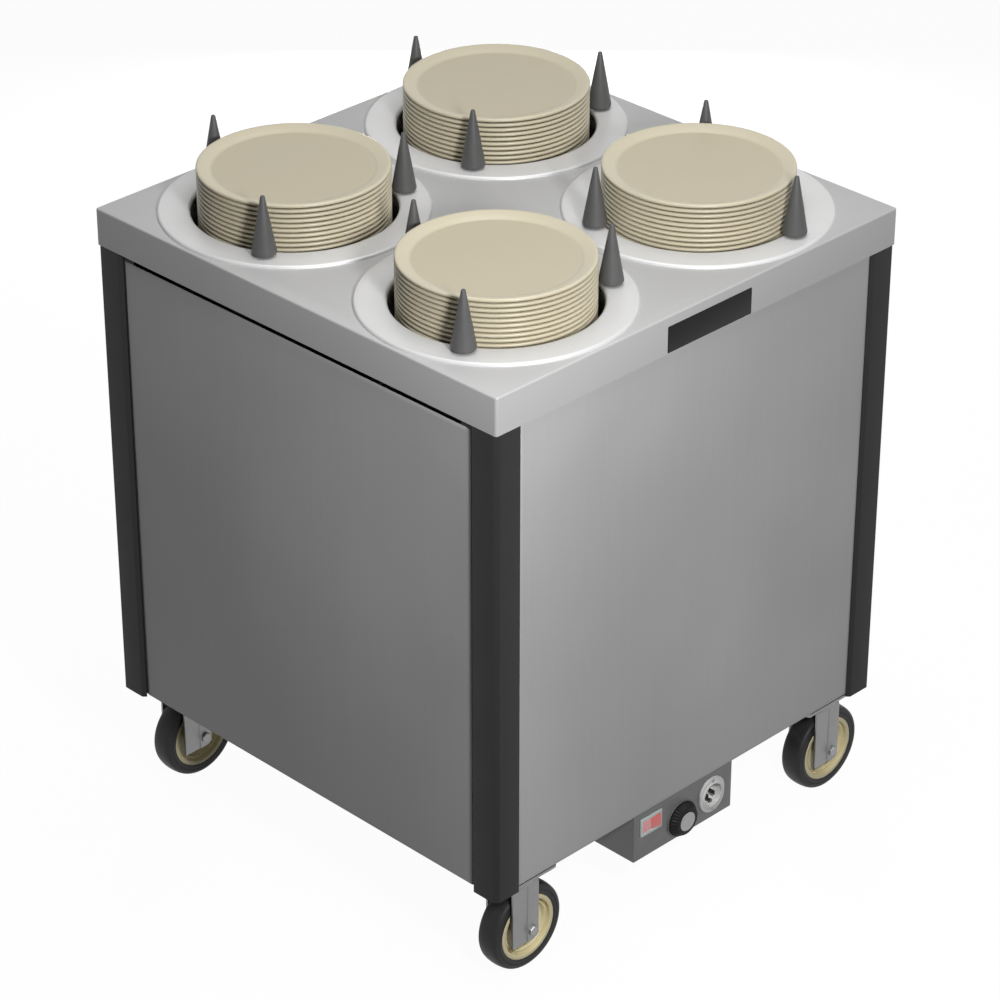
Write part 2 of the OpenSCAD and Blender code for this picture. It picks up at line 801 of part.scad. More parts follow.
// A fork's bent strip seen from the front
module fork_section() {
    middle = crown_z - fork_w / 2;
    low = axle_z - leg_drop - cut;
    inner_w = fork_w - 2 * fork_t;
    difference() {
        union() {
            translate([0, middle]) round_rect(fork_w, fork_w, crown_r);
            translate([-fork_w / 2, low]) square([fork_w, middle - low]);
        }
        translate([0, middle]) round_rect(inner_w, inner_w, crown_r - fork_t);
        translate([-inner_w / 2, low - cut]) square([inner_w, middle - low + cut]);
    }
}

module caster_fork(i) {
    color("gray") at_swivel(i) difference() {
        union() {
            intersection() {
                translate([-leg_back, 0, 0]) rotate([quarter_turn, 0, quarter_turn])
                    linear_extrude(leg_w) fork_section();
                translate([0, fork_w / 2 + cut, 0]) rotate([quarter_turn, 0, 0])
                    linear_extrude(fork_w + 2 * cut) leg_outline();
            }
            translate([0, 0, crown_z - fork_t / 2]) cylinder(d = head_d, h = crown_drop + fork_t / 2);
            translate([0, 0, crown_z - fork_t / 2])
                cylinder(d = kingpin_d, h = caster_h - slack - crown_z + fork_t / 2);
            translate([0, 0, caster_h - kingpin_head_h])
                cylinder(d = kingpin_head_d, h = kingpin_head_h - slack);
        }
        for (y = [0, 1]) mirror([0, y, 0])
            span([-leg_back - cut, fork_w / 2 - crease_in, 0],
                [crease_x - leg_back, fork_w / 2 + cut, crown_z - crown_r]);
        translate([trail, fork_w / 2 + cut, axle_z]) rotate([quarter_turn, 0, 0])
            cylinder(d = axle_d + 2 * fit, h = fork_w + 2 * cut);
    }
}

module caster_axle(i) {
    half = fork_w / 2;
    inner = half - fork_t - sleeve_play;
    color("silver") at_axle(i) {
        translate([0, 0, -half - axle_head_h])
            cylinder(d = axle_d, h = 2 * (half + axle_head_h) + axle_tip);
        translate([0, 0, -half - axle_head_h]) hex_bar(axle_head_af, axle_head_h);
        difference() {
            translate([0, 0, half]) hex_bar(axle_head_af, axle_head_h);
            translate([0, 0, half - cut]) cylinder(d = axle_d + 2 * fit, h = axle_head_h + 2 * cut);
        }
        difference() {
            translate([0, 0, -inner]) cylinder(d = sleeve_d, h = 2 * inner);
            translate([0, 0, -inner - cut]) cylinder(d = axle_d + 2 * fit, h = 2 * inner + 2 * cut);
        }
    }
}

module wheel_hub(i) {
    rim_r = hub_d / 2 - fit;
    rim_in = rim_r - hub_rim;
    step_r = rim_in - hub_step;
    boss_r = hub_boss_d / 2;
    bore_r = sleeve_d / 2 + fit;
    half_profile = [[bore_r, hub_boss_half], [boss_r, hub_boss_half], [boss_r, hub_web_half],
        [step_r, hub_web_half], [step_r, hub_step_half], [rim_in, hub_step_half], [rim_in, hub_half],
        [rim_r, hub_half]];
    color("tan") at_axle(i) rotate_extrude() polygon(concat(
        half_profile,
        [for (k = [len(half_profile) - 1:-1:0]) [half_profile[k][0], -half_profile[k][1]]]
    ));
}

module wheel_tyre(i) {
    seat_r = hub_d / 2;
    tread_r = wheel_d / 2;
    half = tread_w / 2;
    flat = half - tyre_fillet;
    color("#222222") at_axle(i) rotate_extrude() polygon(concat(
        [[seat_r, -half + shoulder_w / 2]],
        arc([tread_r - crown_tread / 2 - tyre_fillet, -flat], tyre_fillet, -quarter_turn, 0),
        [[tread_r, -flat / 2], [tread_r, flat / 2]],
        arc([tread_r - crown_tread / 2 - tyre_fillet, flat], tyre_fillet, 0, quarter_turn),
        [[seat_r, half - shoulder_w / 2]]
    ));
}

module fasteners() {
    color("silver") {
        for (i = [0:corners - 1]) at_bolts(i) translate([0, 0, caster_h - top_plate_t - bolt_head_h]) {
            hex_bar(bolt_head_af, bolt_head_h);
            cylinder(d = bolt_d, h = bolt_head_h + top_plate_t + gusset_t);
        }
        for (i = [0:corners - 1]) at_well(i) at_guides(i) translate([0, 0, spring_top - nut_h])
            difference() {
                hex_bar(nut_af, nut_h);
                translate([0, 0, -cut]) cylinder(d = stud_d + 2 * fit, h = nut_h + 2 * cut);
            }
    }
}

top_deck();
deck_braces();
front_panel();
rear_panel();
left_panel();
right_panel();
corner_bumpers();
corner_posts();
base_frame();
floor_pan();
nameplate();
control_box();
rocker_bezel();
rocker_switch();
thermostat_knob();
thermostat();
power_inlet();
heater_element();
caster_plates();
fasteners();

for (i = [0:corners - 1]) {
    name = CORNERS[i];
    at_well(i) flange_ring(i);
    at_well(i) well_tube(i);
    at_well(i) plate_carrier(i);
    at_well(i) carrier_springs(i);
    at_well(i) plate_stack();
    at_well(i) plate_guides(i);
    caster_fork(i);
    caster_axle(i);
    wheel_hub(i);
    wheel_tyre(i);
}
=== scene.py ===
# %% [markdown]
# A plate dispenser cart stands on four swivel casters. Four stacks of plates sit on sprung
# carriers in the deck, held upright by cones, and a heater under them keeps the plates warm.
# The construction comes in as a fixed frame in metres. This lesson dresses it: it models the
# visible pieces by hand, gives every surface a finish made of shader nodes, and lights the cart
# the way a studio photograph of it is lit.

import json
import math

import bmesh
import bpy
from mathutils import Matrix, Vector


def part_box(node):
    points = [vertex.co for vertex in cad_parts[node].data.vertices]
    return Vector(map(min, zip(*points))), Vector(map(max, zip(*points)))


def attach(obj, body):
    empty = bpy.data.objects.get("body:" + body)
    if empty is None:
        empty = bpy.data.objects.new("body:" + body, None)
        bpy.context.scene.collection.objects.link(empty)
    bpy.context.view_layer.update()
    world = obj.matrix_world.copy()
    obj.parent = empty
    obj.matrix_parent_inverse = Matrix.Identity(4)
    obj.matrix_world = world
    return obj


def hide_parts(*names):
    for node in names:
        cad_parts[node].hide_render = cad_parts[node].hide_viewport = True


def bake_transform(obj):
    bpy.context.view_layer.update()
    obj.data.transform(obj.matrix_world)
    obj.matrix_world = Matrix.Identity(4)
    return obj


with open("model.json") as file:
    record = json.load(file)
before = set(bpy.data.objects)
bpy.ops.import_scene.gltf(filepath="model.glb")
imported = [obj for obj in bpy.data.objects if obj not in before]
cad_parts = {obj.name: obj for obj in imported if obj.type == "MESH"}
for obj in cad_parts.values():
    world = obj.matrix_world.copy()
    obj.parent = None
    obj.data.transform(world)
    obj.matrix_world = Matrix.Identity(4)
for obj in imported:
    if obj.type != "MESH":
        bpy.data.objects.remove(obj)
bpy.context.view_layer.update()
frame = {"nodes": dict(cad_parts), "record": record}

# %% [markdown]
# Every size below is either read from the frame's own boxes or is a real size in millimetres.
# The four wells and the four casters share one layout: a corner's name says whether it is at
# the front or the rear, and on the left or the right of someone who faces the controls.

# %% Sizes and corners
MM = 0.001
FULL_TURN = 2 * math.pi
QUARTER = math.pi / 2
CORNERS = ("front_left", "front_right", "rear_left", "rear_right")


def middle(node):
    """The middle of a node's box."""
    low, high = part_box(node)
    return (low + high) / 2


def radius(node):
    """Half of a round upright node's width."""
    low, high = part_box(node)
    return (high.x - low.x) / 2


print("well middle", [round(v, 4) for v in middle("front_left_flange_ring")])

# %% [markdown]
# Shader maths reads best as plain expressions. A Signal wraps one socket of a material's node
# tree, so that streaks * 0.2 + 0.4 adds the Math nodes by itself. A Finish owns one material
# with its Principled shader. Numbers that are the same all over go on the shader's own sockets,
# and only what changes over the surface is linked, because that is what an export can bake.

# %% Signals
class Signal:
    """A socket's output in a finish, for use in expressions."""

    def __init__(self, finish, socket):
        self.finish = finish
        self.socket = socket

    def maths(self, operation, *values):
        return self.finish.node("ShaderNodeMath", {"operation": operation}, dict(enumerate(values)))

    def __add__(self, other):
        return self.maths("ADD", self, other)

    def __sub__(self, other):
        return self.maths("SUBTRACT", self, other)

    def __rsub__(self, other):
        return self.maths("SUBTRACT", other, self)

    def __mul__(self, other):
        return self.maths("MULTIPLY", self, other)

    __radd__ = __add__
    __rmul__ = __mul__

    def band(self, low, high):
        """0 below low, 1 above high and smooth between."""
        ends = {0: self, "From Min": low, "From Max": high}
        return self.finish.node("ShaderNodeMapRange", {"interpolation_type": "SMOOTHSTEP"}, ends)


# %% [markdown]
# Colours are written as the 8-bit values that a screen shows. Blender mixes light, not screen
# values, so each one is turned into a linear value first.

# %% Colours
def tone(red, green=None, blue=None):
    """A linear colour from 8-bit screen values, or from one value for a grey."""
    levels = (red, red if green is None else green, red if blue is None else blue)
    linear = []
    for level in levels:
        share = level / 255
        linear.append(share / 12.92 if share <= 0.04045 else ((share + 0.055) / 1.055) ** 2.4)
    return (*linear, 1)


# %% [markdown]
# The finish has one method that adds any node. Settings, such as a Math node's operation or a
# ramp's stops, are set first, and then the sockets take numbers, colours or other signals. The
# four wells are mirror images, so absolute values fold the cart's plan into one quarter, and one
# distance then serves the rings and the plates of all four.

# %% Finishes
class Finish:
    """A material with one Principled shader and what feeds it."""

    def __init__(self, name, **constants):
        self.material = bpy.data.materials.new(name)
        self.material.use_nodes = True
        self.tree = self.material.node_tree
        self.shader = self.tree.nodes["Principled BSDF"]
        for key, value in constants.items():
            self.shader.inputs[key.replace("_", " ")].default_value = value

    def node(self, kind, settings=None, sockets=None, output=0):
        node = self.tree.nodes.new(kind)
        for key, value in (settings or {}).items():
            if key == "stops":
                self.set_stops(node.color_ramp, value)
            else:
                setattr(node, key, value)
        for key, value in (sockets or {}).items():
            self.feed(node.inputs[key], value)
        return Signal(self, node.outputs[output])

    def set_stops(self, ramp, stops):
        while len(ramp.elements) < len(stops):
            ramp.elements.new(0.5)
        for element, (place, colour) in zip(ramp.elements, stops):
            element.position = place
            element.color = colour

    def feed(self, socket, value):
        if isinstance(value, Signal):
            self.tree.links.new(value.socket, socket)
        else:
            socket.default_value = value

    def surface(self, **signals):
        for key, value in signals.items():
            self.feed(self.shader.inputs[key.replace("_", " ")], value)

    def place(self):
        """The point on the surface, in metres in the cart's frame."""
        return self.node("ShaderNodeTexCoord", output="Object")

    def mapped(self, scale):
        """The point, with each axis scaled by itself."""
        return self.node("ShaderNodeMapping", None, {"Vector": self.place(), "Scale": scale})

    def split(self, vector):
        """The three parts of a vector."""
        first = self.node("ShaderNodeSeparateXYZ", None, {0: vector})
        outputs = first.socket.node.outputs
        return [Signal(self, outputs[i]) for i in range(3)]

    def noise(self, vector, scale, detail, roughness):
        sockets = {"Vector": vector, "Scale": scale, "Detail": detail, "Roughness": roughness}
        return self.node("ShaderNodeTexNoise", None, sockets)

    def mix(self, factor, first, second):
        """A colour between the first and the second."""
        settings = {"data_type": "RGBA", "clamp_factor": True}
        return self.node("ShaderNodeMix", settings, {0: factor, 6: first, 7: second}, output=2)

    def raised(self, height, distance, strength):
        """Feeds the shader's normal with a relief."""
        sockets = {"Height": height, "Distance": distance, "Strength": strength}
        self.surface(Normal=self.node("ShaderNodeBump", None, sockets))

    def from_axis(self, kind):
        """How far a point is from the axis of its well's ring or stack, and its height."""
        along, across, up = self.split(self.place())
        well = middle("rear_right_" + kind)
        flat_x = along.maths("ABSOLUTE", along) - well.x
        flat_y = across.maths("ABSOLUTE", across) - well.y
        offset = self.node("ShaderNodeCombineXYZ", None, {0: flat_x, 1: flat_y})
        length = {"operation": "LENGTH"}
        return self.node("ShaderNodeVectorMath", length, {0: offset}, output=1), up


# %% [markdown]
# Stainless sheet is finished with an abrasive belt. The grain is far finer than a photograph of
# the whole cart can show, so it reads as a soft satin with slow clouds where the sheet is not
# quite flat. The finish stretches one noise along the belt's direction for the grain and adds a
# slow noise for the clouds.

# %% Satin stainless steel
GRAIN_ACROSS = 900
GRAIN_ALONG = 14


def satin_steel(name, dark, light, grain, metallic, shine):
    """Belt-ground sheet whose grain runs along the given axis."""
    steel = Finish(name, Metallic=metallic, Specular_IOR_Level=shine)
    stretch = [GRAIN_ALONG if along else GRAIN_ACROSS for along in grain]
    streaks = steel.noise(steel.mapped(stretch), 1.0, 3.0, 0.6)
    clouds = steel.noise(steel.place(), 2.2, 2.0, 0.45)
    scuffs = steel.noise(steel.mapped([s / 12 for s in stretch]), 1.0, 4.0, 0.7)
    shade = clouds.band(0.3, 0.7) * 0.6 + streaks * 0.25 + scuffs * 0.15
    steel.surface(
        Base_Color=steel.mix(shade, dark, light),
        Roughness=streaks * 0.10 + clouds * 0.08 + 0.33,
    )
    steel.raised(streaks, 0.02 * MM, 0.5)
    return steel.material


deck_steel = satin_steel("deck_satin_steel", tone(176), tone(188), (1, 0, 0), 0.12, 0.25)
side_steel = satin_steel("panel_satin_steel", tone(164), tone(192), (0, 0, 1), 0.08, 0.15)
print("steel finishes", deck_steel.name, side_steel.name)

# %% [markdown]
# The flange rings are spun on a lathe, so their grain runs in circles round each well. The noise
# reads the distance from the well's axis in place of a point.

# %% Spun rings
def spun_steel(name, dark, light):
    """Steel with a circular grain about each of the four wells."""
    steel = Finish(name, Metallic=0.15, Specular_IOR_Level=0.25)
    distance, up = steel.from_axis("flange_ring")
    ring = steel.node("ShaderNodeCombineXYZ", None, {0: distance, 2: up})
    grooves = steel.noise(ring, GRAIN_ACROSS, 2.0, 0.6)
    clouds = steel.noise(steel.place(), 5.0, 2.0, 0.45)
    shade = grooves * 0.4 + clouds.band(0.3, 0.7) * 0.6
    steel.surface(
        Base_Color=steel.mix(shade, dark, light),
        Roughness=grooves * 0.12 + 0.32,
    )
    steel.raised(grooves, 0.02 * MM, 0.5)
    return steel.material


ring_steel = spun_steel("spun_ring_steel", tone(207), tone(219))
print("ring finish", ring_steel.name)

# %% [markdown]
# The sheet that nobody looks at is galvanised. Zinc freezes into flat crystals, and Voronoi
# cells give that spangle: each cell has its own slightly different grey and gloss.

# %% Galvanised and plated steel
def galvanised(name, dark, light):
    """Zinc-coated sheet with a faint spangle."""
    zinc = Finish(name, Metallic=0.9)
    cells = zinc.node("ShaderNodeTexVoronoi", None, {"Vector": zinc.place(), "Scale": 110.0}, output=1)
    spangle = zinc.node("ShaderNodeSeparateColor", None, {0: cells})
    haze = zinc.noise(zinc.place(), 9.0, 4.0, 0.6)
    zinc.surface(
        Base_Color=zinc.mix(spangle * 0.5 + haze * 0.5, dark, light),
        Roughness=spangle * 0.14 + haze * 0.10 + 0.34,
    )
    zinc.raised(haze, 0.05 * MM, 0.3)
    return zinc.material


def zinc_plated(name, dark, light, roughness):
    """Bright-dipped pressings and bolts, a little mottled."""
    plate = Finish(name, Metallic=0.85)
    mottle = plate.noise(plate.place(), 90.0, 4.0, 0.6)
    scratches = plate.noise(plate.mapped((500, 500, 40)), 1.0, 3.0, 0.7)
    plate.surface(
        Base_Color=plate.mix(mottle * 0.7 + scratches * 0.3, dark, light),
        Roughness=mottle * 0.12 + scratches * 0.08 + (roughness - 0.1),
    )
    plate.raised(scratches, 0.03 * MM, 0.4)
    return plate.material


sheet_zinc = galvanised("galvanised_sheet", tone(128), tone(164))
fork_zinc = zinc_plated("plated_pressing", tone(128), tone(150), 0.42)
bolt_zinc = zinc_plated("plated_fastener", tone(140), tone(168), 0.46)
wire_steel = zinc_plated("spring_wire", tone(96), tone(128), 0.35)
cap_silver = zinc_plated("knob_silver_cap", tone(150), tone(162), 0.38)
contact_metal = zinc_plated("contact_nickel", tone(96, 92, 84), tone(120, 114, 104), 0.3)
print("zinc finishes", sheet_zinc.name, fork_zinc.name, bolt_zinc.name, wire_steel.name)

# %% [markdown]
# Painted sheet has a faint orange peel, a soft wave that only shows in the highlights. The dark
# nameplate has the same finish in a deeper tone, and the heater's sheath is steel that heat has
# turned brown and dull.

# %% Paint and heated steel
def painted(name, dark, light, roughness, shine=0.5):
    """Sprayed paint with a light orange peel."""
    paint = Finish(name, Specular_IOR_Level=shine)
    wave = paint.noise(paint.place(), 420.0, 2.0, 0.5)
    dust = paint.noise(paint.place(), 14.0, 5.0, 0.6)
    paint.surface(
        Base_Color=paint.mix(dust, dark, light),
        Roughness=dust * 0.12 + (roughness - 0.06),
    )
    paint.raised(wave, 0.06 * MM, 0.35)
    return paint.material


def heated_sheath(name):
    """A tubular heater's sheath, tinted by heat in slow patches."""
    sheath = Finish(name, Metallic=0.8)
    patches = sheath.noise(sheath.place(), 22.0, 4.0, 0.6)
    stops = [(0.35, tone(70, 62, 56)), (0.5, tone(96, 84, 70)), (0.68, tone(74, 72, 84))]
    tint = sheath.node("ShaderNodeValToRGB", {"stops": stops}, {0: patches})
    sheath.surface(Base_Color=tint, Roughness=patches * 0.2 + 0.4)
    sheath.raised(patches, 0.05 * MM, 0.4)
    return sheath.material


# The frame's paint is near black: painted shade for the dark underside of the cart, where the frame and
# the corner posts show.
frame_paint = painted("frame_paint_darkened_as_shade", tone(38), tone(50), 0.55, shine=0.2)
control_paint = painted("control_grey_paint", tone(112), tone(124), 0.42)
nameplate_paint = painted("nameplate_dark_paint", tone(24), tone(30), 0.45, shine=0.15)
heater_finish = heated_sheath("heater_sheath")
print("paint finishes", frame_paint.name, control_paint.name, nameplate_paint.name)

# %% [markdown]
# Moulded plastic takes the texture of its tool: a fine grain that breaks up the highlight. Wear
# polishes it a little, which a slow noise in the roughness stands for. The same recipe serves
# the vinyl bumpers, the cones, the hubs and the control pieces, each with its own tones.

# %% Moulded plastics
def moulded(name, dark, light, roughness, coat=0.0, shine=0.4):
    """Plastic with a tool grain and slow wear."""
    plastic = Finish(name, Coat_Weight=coat, Coat_Roughness=0.25, Specular_IOR_Level=shine)
    grit = plastic.noise(plastic.place(), 1800.0, 2.0, 0.6)
    wear = plastic.noise(plastic.place(), 26.0, 5.0, 0.62)
    plastic.surface(
        Base_Color=plastic.mix(wear * 0.8 + grit * 0.2, dark, light),
        Roughness=wear * 0.16 + grit * 0.06 + (roughness - 0.11),
    )
    plastic.raised(grit, 0.05 * MM, 0.4)
    return plastic.material


bumper_vinyl = moulded("bumper_charcoal_vinyl", tone(36), tone(46), 0.55, shine=0.2)
guide_plastic = moulded("guide_charcoal_plastic", tone(76), tone(90), 0.46)
hub_plastic = moulded("hub_beige_plastic", tone(226, 214, 170), tone(240, 229, 188), 0.40, coat=0.15)
knob_plastic = moulded("knob_black_plastic", tone(16), tone(24), 0.5, shine=0.15)
dial_plastic = moulded("dial_grey_plastic", tone(100), tone(114), 0.45)
bezel_plastic = moulded("bezel_pale_plastic", tone(200, 214, 209), tone(216, 228, 223), 0.36)
inlet_plastic = moulded("inlet_pale_plastic", tone(220), tone(234), 0.38)
body_plastic = moulded("thermostat_dark_plastic", tone(44), tone(58), 0.5)
print("plastic finishes", bumper_vinyl.name, guide_plastic.name, hub_plastic.name)

# %% [markdown]
# The rocker is tinted plastic over a small lamp. A weak emission of its own colour makes it glow a
# little even when it is off: a painted glow. Its left half is painted a paler red than its right half:
# a painted highlight where it is tilted to the light.

# %% Tinted rocker
def tinted_lens(name, deep, bright):
    """A clear red cap whose left half, tilted to the light, is painted a paler red than its right half:
    a painted highlight.
    """
    # The weak emission is a painted glow, in the same two reds as the base colour.
    lens = Finish(name, Coat_Roughness=0.08, Coat_Weight=0.6, Emission_Strength=0.12)
    haze = lens.noise(lens.place(), 160.0, 3.0, 0.5)
    ridge = middle("rocker_switch").x
    # This mask paints the left half paler: a painted highlight.
    half = lens.split(lens.place())[0].band(ridge - MM, ridge + MM)
    colour = lens.mix(half * 0.85 + haze * 0.15, bright, deep)
    lens.surface(Base_Color=colour, Emission_Color=colour, Roughness=haze * 0.1 + 0.22)
    lens.raised(haze, 0.02 * MM, 0.3)
    return lens.material


# The second, paler red is the painted highlight on the rocker's left half.
rocker_red = tinted_lens("rocker_red_lens", tone(214, 92, 90), tone(222, 150, 150))
print("rocker finish", rocker_red.name)

# %% [markdown]
# Institutional china has an ivory glaze. Its colour is lighter at the rim than in the middle of the
# plate. The distance from the stack's axis drives that change, and a very fine speckle keeps it from
# looking like plastic.

# %% Ivory glaze
def ivory_glaze(name, well_tone, rim_tone, flat_radius):
    """Glazed ware whose colour changes from the middle to the rim."""
    glaze = Finish(name, Coat_Weight=0.15, Coat_Roughness=0.2, Specular_IOR_Level=0.4)
    distance = glaze.from_axis("plate_stack")[0]
    rim = distance.band(flat_radius - 3 * MM, flat_radius + 4 * MM)
    speckle = glaze.noise(glaze.place(), 700.0, 2.0, 0.5)
    pooling = glaze.noise(glaze.place(), 16.0, 3.0, 0.5)
    body = glaze.mix(rim, well_tone, rim_tone)
    shaded = glaze.mix(pooling * 0.10 + speckle * 0.08, body, tone(176, 160, 118))
    glaze.surface(Base_Color=shaded, Roughness=pooling * 0.12 + speckle * 0.05 + 0.30)
    glaze.raised(pooling, 0.1 * MM, 0.2)
    return glaze.material


PLATE_FLAT = 107 * MM
plate_glaze = ivory_glaze("ivory_glaze", tone(189, 180, 156), tone(204, 196, 173), PLATE_FLAT)
print("glaze", plate_glaze.name)

# %% [markdown]
# The tyres are a dark non-marking rubber. Floor dust greys them in patches, so one noise lays a
# paler tone over the dark one and makes it duller there.

# %% Tyre rubber
def tyre_rubber(name, side_tone, dust_tone):
    """Rubber that is dusty in patches."""
    rubber = Finish(name, Specular_IOR_Level=0.25)
    dust = rubber.noise(rubber.place(), 70.0, 6.0, 0.65)
    grit = rubber.noise(rubber.place(), 1400.0, 2.0, 0.6)
    cover = dust.band(0.42, 0.78) * 0.6 + grit * 0.2
    rubber.surface(
        Base_Color=rubber.mix(cover, side_tone, dust_tone),
        Roughness=cover * 0.2 + 0.46,
    )
    rubber.raised(grit, 0.08 * MM, 0.4)
    return rubber.material


tyre_finish = tyre_rubber("tyre_dark_rubber", tone(36), tone(58))
print("tyre finish", tyre_finish.name)

# %% [markdown]
# The CAD nodes that already have the right shape keep it, and only take a finish. The record says which
# material slot each node belongs to, so the finishes are handed out by slot. The corner posts show
# through the gap under the deck, which is dark in the photograph, so they take the frame's near-black
# paint as painted shade for that gap.

# %% Dress the CAD nodes
NODE_SLOT = {part["node"]: part["material_slot"] for part in frame["record"]["subparts"]}
SLOT_FINISH = {
    "deck_steel": deck_steel,
    "panel_steel": side_steel,
    "ring_steel": ring_steel,
    "galvanised_sheet": sheet_zinc,
    "frame_paint": frame_paint,
    "bumper_vinyl": bumper_vinyl,
    "nameplate_dark": nameplate_paint,
    "control_paint": control_paint,
    "bezel_plastic": bezel_plastic,
    "rocker_red": rocker_red,
    "knob_black": knob_plastic,
    "thermostat_body": body_plastic,
    "inlet_plastic": inlet_plastic,
    "heater_sheath": heater_finish,
    "spring_steel": wire_steel,
    "plate_glaze": plate_glaze,
    "guide_plastic": guide_plastic,
    "caster_zinc": fork_zinc,
    "fastener_zinc": bolt_zinc,
    "hub_plastic": hub_plastic,
    "tyre_black": tyre_finish,
}
for name, piece in frame["nodes"].items():
    piece.data.materials.clear()
    piece.data.materials.append(SLOT_FINISH[NODE_SLOT[name]])
# The corner posts' dark paint is painted shade for the gap under the deck.
frame["nodes"]["corner_posts"].data.materials[0] = frame_paint
print("dressed", len(frame["nodes"]), "nodes")

# %% [markdown]
# New pieces are modelled with Blender's own operators, as they would be by hand. An operator
# acts on whatever is selected, so each piece starts from a clean selection, and the faces or
# edges to work on are then picked by their place or direction. Some tools leave the mesh in edit
# mode for the work that follows, and done() goes back.

# %% Hand tools
MODES = {"faces": "FACE", "edges": "EDGE", "verts": "VERT"}
X_AXIS, Y_AXIS, Z_AXIS = 0, 1, 2
SIDE_STEPS = 96
FINE_STEPS = 128


def done():
    """Goes back to object mode."""
    bpy.ops.object.mode_set(mode="OBJECT")


def start_clean():
    """Goes to object mode with nothing selected."""
    if bpy.context.object and bpy.context.object.mode != "OBJECT":
        done()
    bpy.ops.object.select_all(action="DESELECT")


def work_on(piece):
    """Makes the piece the only selected one."""
    start_clean()
    piece.select_set(True)
    bpy.context.view_layer.objects.active = piece


def apply_place():
    bpy.ops.object.transform_apply(location=True, rotation=True, scale=True)


def edit(piece):
    work_on(piece)
    bpy.ops.object.mode_set(mode="EDIT")


def select_everything():
    bpy.ops.mesh.select_all(action="SELECT")


def choose(kind, test):
    """Selects the faces, edges or verts whose middle and direction pass the test."""
    bpy.ops.mesh.select_mode(type=MODES[kind])
    bpy.ops.mesh.select_all(action="DESELECT")
    shape = bmesh.from_edit_mesh(bpy.context.object.data)
    for item in getattr(shape, kind):
        if kind == "edges":
            first, second = item.verts
            place = (first.co + second.co) / 2
            direction = (second.co - first.co).normalized()
        else:
            place = item.calc_center_median() if kind == "faces" else item.co
            direction = item.normal
        if test(place, direction):
            item.select_set(True)
    shape.select_flush_mode()
    bmesh.update_edit_mesh(bpy.context.object.data)


def near(value, target, slack=0.05 * MM):
    return abs(value - target) < slack


def bevel(width, segments):
    bpy.ops.mesh.bevel(offset=width, segments=segments, affect="EDGES", clamp_overlap=True)


def round_along(axis, width, segments):
    """Rounds the edges that run along an axis."""
    choose("edges", lambda place, way: abs(way[axis]) > 0.9)
    bevel(width, segments)


def round_rim(axis, level, width, segments):
    """Rounds the edges that lie in a plane across an axis."""
    choose("edges", lambda place, way: near(place[axis], level) and abs(way[axis]) < 0.1)
    bevel(width, segments)


# %% [markdown]
# Three starts cover most of the cart: a block between two corners, an outline pulled along a
# straight line, and a turned piece. Outlines are traced vertex by vertex. A spin leaves doubled
# vertices where it closes and at the poles, so they are merged and the faces turned outwards.

# %% Blocks and turned pieces
def block(name, low, high):
    """A box between its lowest and highest corners."""
    low, high = Vector(low), Vector(high)
    start_clean()
    bpy.ops.mesh.primitive_cube_add(size=1, location=(low + high) / 2, scale=high - low)
    bpy.context.object.name = name
    apply_place()
    return bpy.context.object


def drum(name, centre, size, depth, steps=SIDE_STEPS, axis="Z"):
    """A cylinder, upright or along Y."""
    start_clean()
    turn = (QUARTER, 0, 0) if axis == "Y" else (0, 0, 0)
    bpy.ops.mesh.primitive_cylinder_add(
        vertices=steps, radius=size, depth=depth, location=centre, rotation=turn
    )
    bpy.context.object.name = name
    apply_place()
    return bpy.context.object


def trace(name, points):
    """A line through the points, left in edit mode with its last vertex selected."""
    points = [Vector(point) for point in points]
    start_clean()
    bpy.ops.mesh.primitive_plane_add(size=MM, location=points[0])
    piece = bpy.context.object
    piece.name = name
    apply_place()
    bpy.ops.object.mode_set(mode="EDIT")
    bpy.ops.mesh.select_mode(type="VERT")
    select_everything()
    bpy.ops.mesh.merge(type="CENTER")
    for here, there in zip(points, points[1:]):
        bpy.ops.mesh.extrude_region_move(TRANSFORM_OT_translate={"value": there - here})
    return piece


def weld():
    """Merges doubles and turns every face outwards, in edit mode."""
    select_everything()
    bpy.ops.mesh.remove_doubles(threshold=0.01 * MM)
    bpy.ops.mesh.normals_make_consistent(inside=False)


def turned(name, outline, centre, axis="Z", steps=SIDE_STEPS):
    """A turned piece. The outline holds (distance from the axis, height along it) pairs."""
    centre = Vector(centre)
    out, up = Vector((1, 0, 0)), Vector((0, 0, 1) if axis == "Z" else (0, 1, 0))
    piece = trace(name, [centre + out * away + up * height for away, height in outline])
    select_everything()
    bpy.ops.mesh.spin(steps=steps, angle=FULL_TURN, center=centre, axis=up)
    weld()
    done()
    return piece


def pulled(name, points, along):
    """A flat outline, closed and pulled along a direction into a solid."""
    piece = trace(name, points + [points[0]])
    weld()
    bpy.ops.mesh.edge_face_add()
    bpy.ops.mesh.extrude_region_move(TRANSFORM_OT_translate={"value": along})
    select_everything()
    bpy.ops.mesh.normals_make_consistent(inside=False)
    return piece


def arc(centre, size, start, end, steps=5):
    """Points along an arc in a flat outline, with its angles in degrees."""
    turns = [math.radians(start + (end - start) * i / steps) for i in range(steps + 1)]
    return [(centre[0] + size * math.cos(t), centre[1] + size * math.sin(t)) for t in turns]


def millimetres(pairs, edge=0.0):
    """Outline points given in millimetres, or measured inwards from an edge where there is one."""
    side = -1 if edge else 1
    return [(edge + side * away * MM, across * MM) for away, across in pairs]


# %% [markdown]
# Pieces are cut and joined with modifiers that are applied at once. What repeats is modelled
# once and copied with its own mesh.

# %% Cutting, copying and joining
def run_modifier(piece, kind, **settings):
    """Adds a modifier, sets it and applies it."""
    work_on(piece)
    modifier = piece.modifiers.new(kind.lower(), kind)
    for key, value in settings.items():
        setattr(modifier, key, value)
    bpy.ops.object.modifier_apply(modifier=modifier.name)


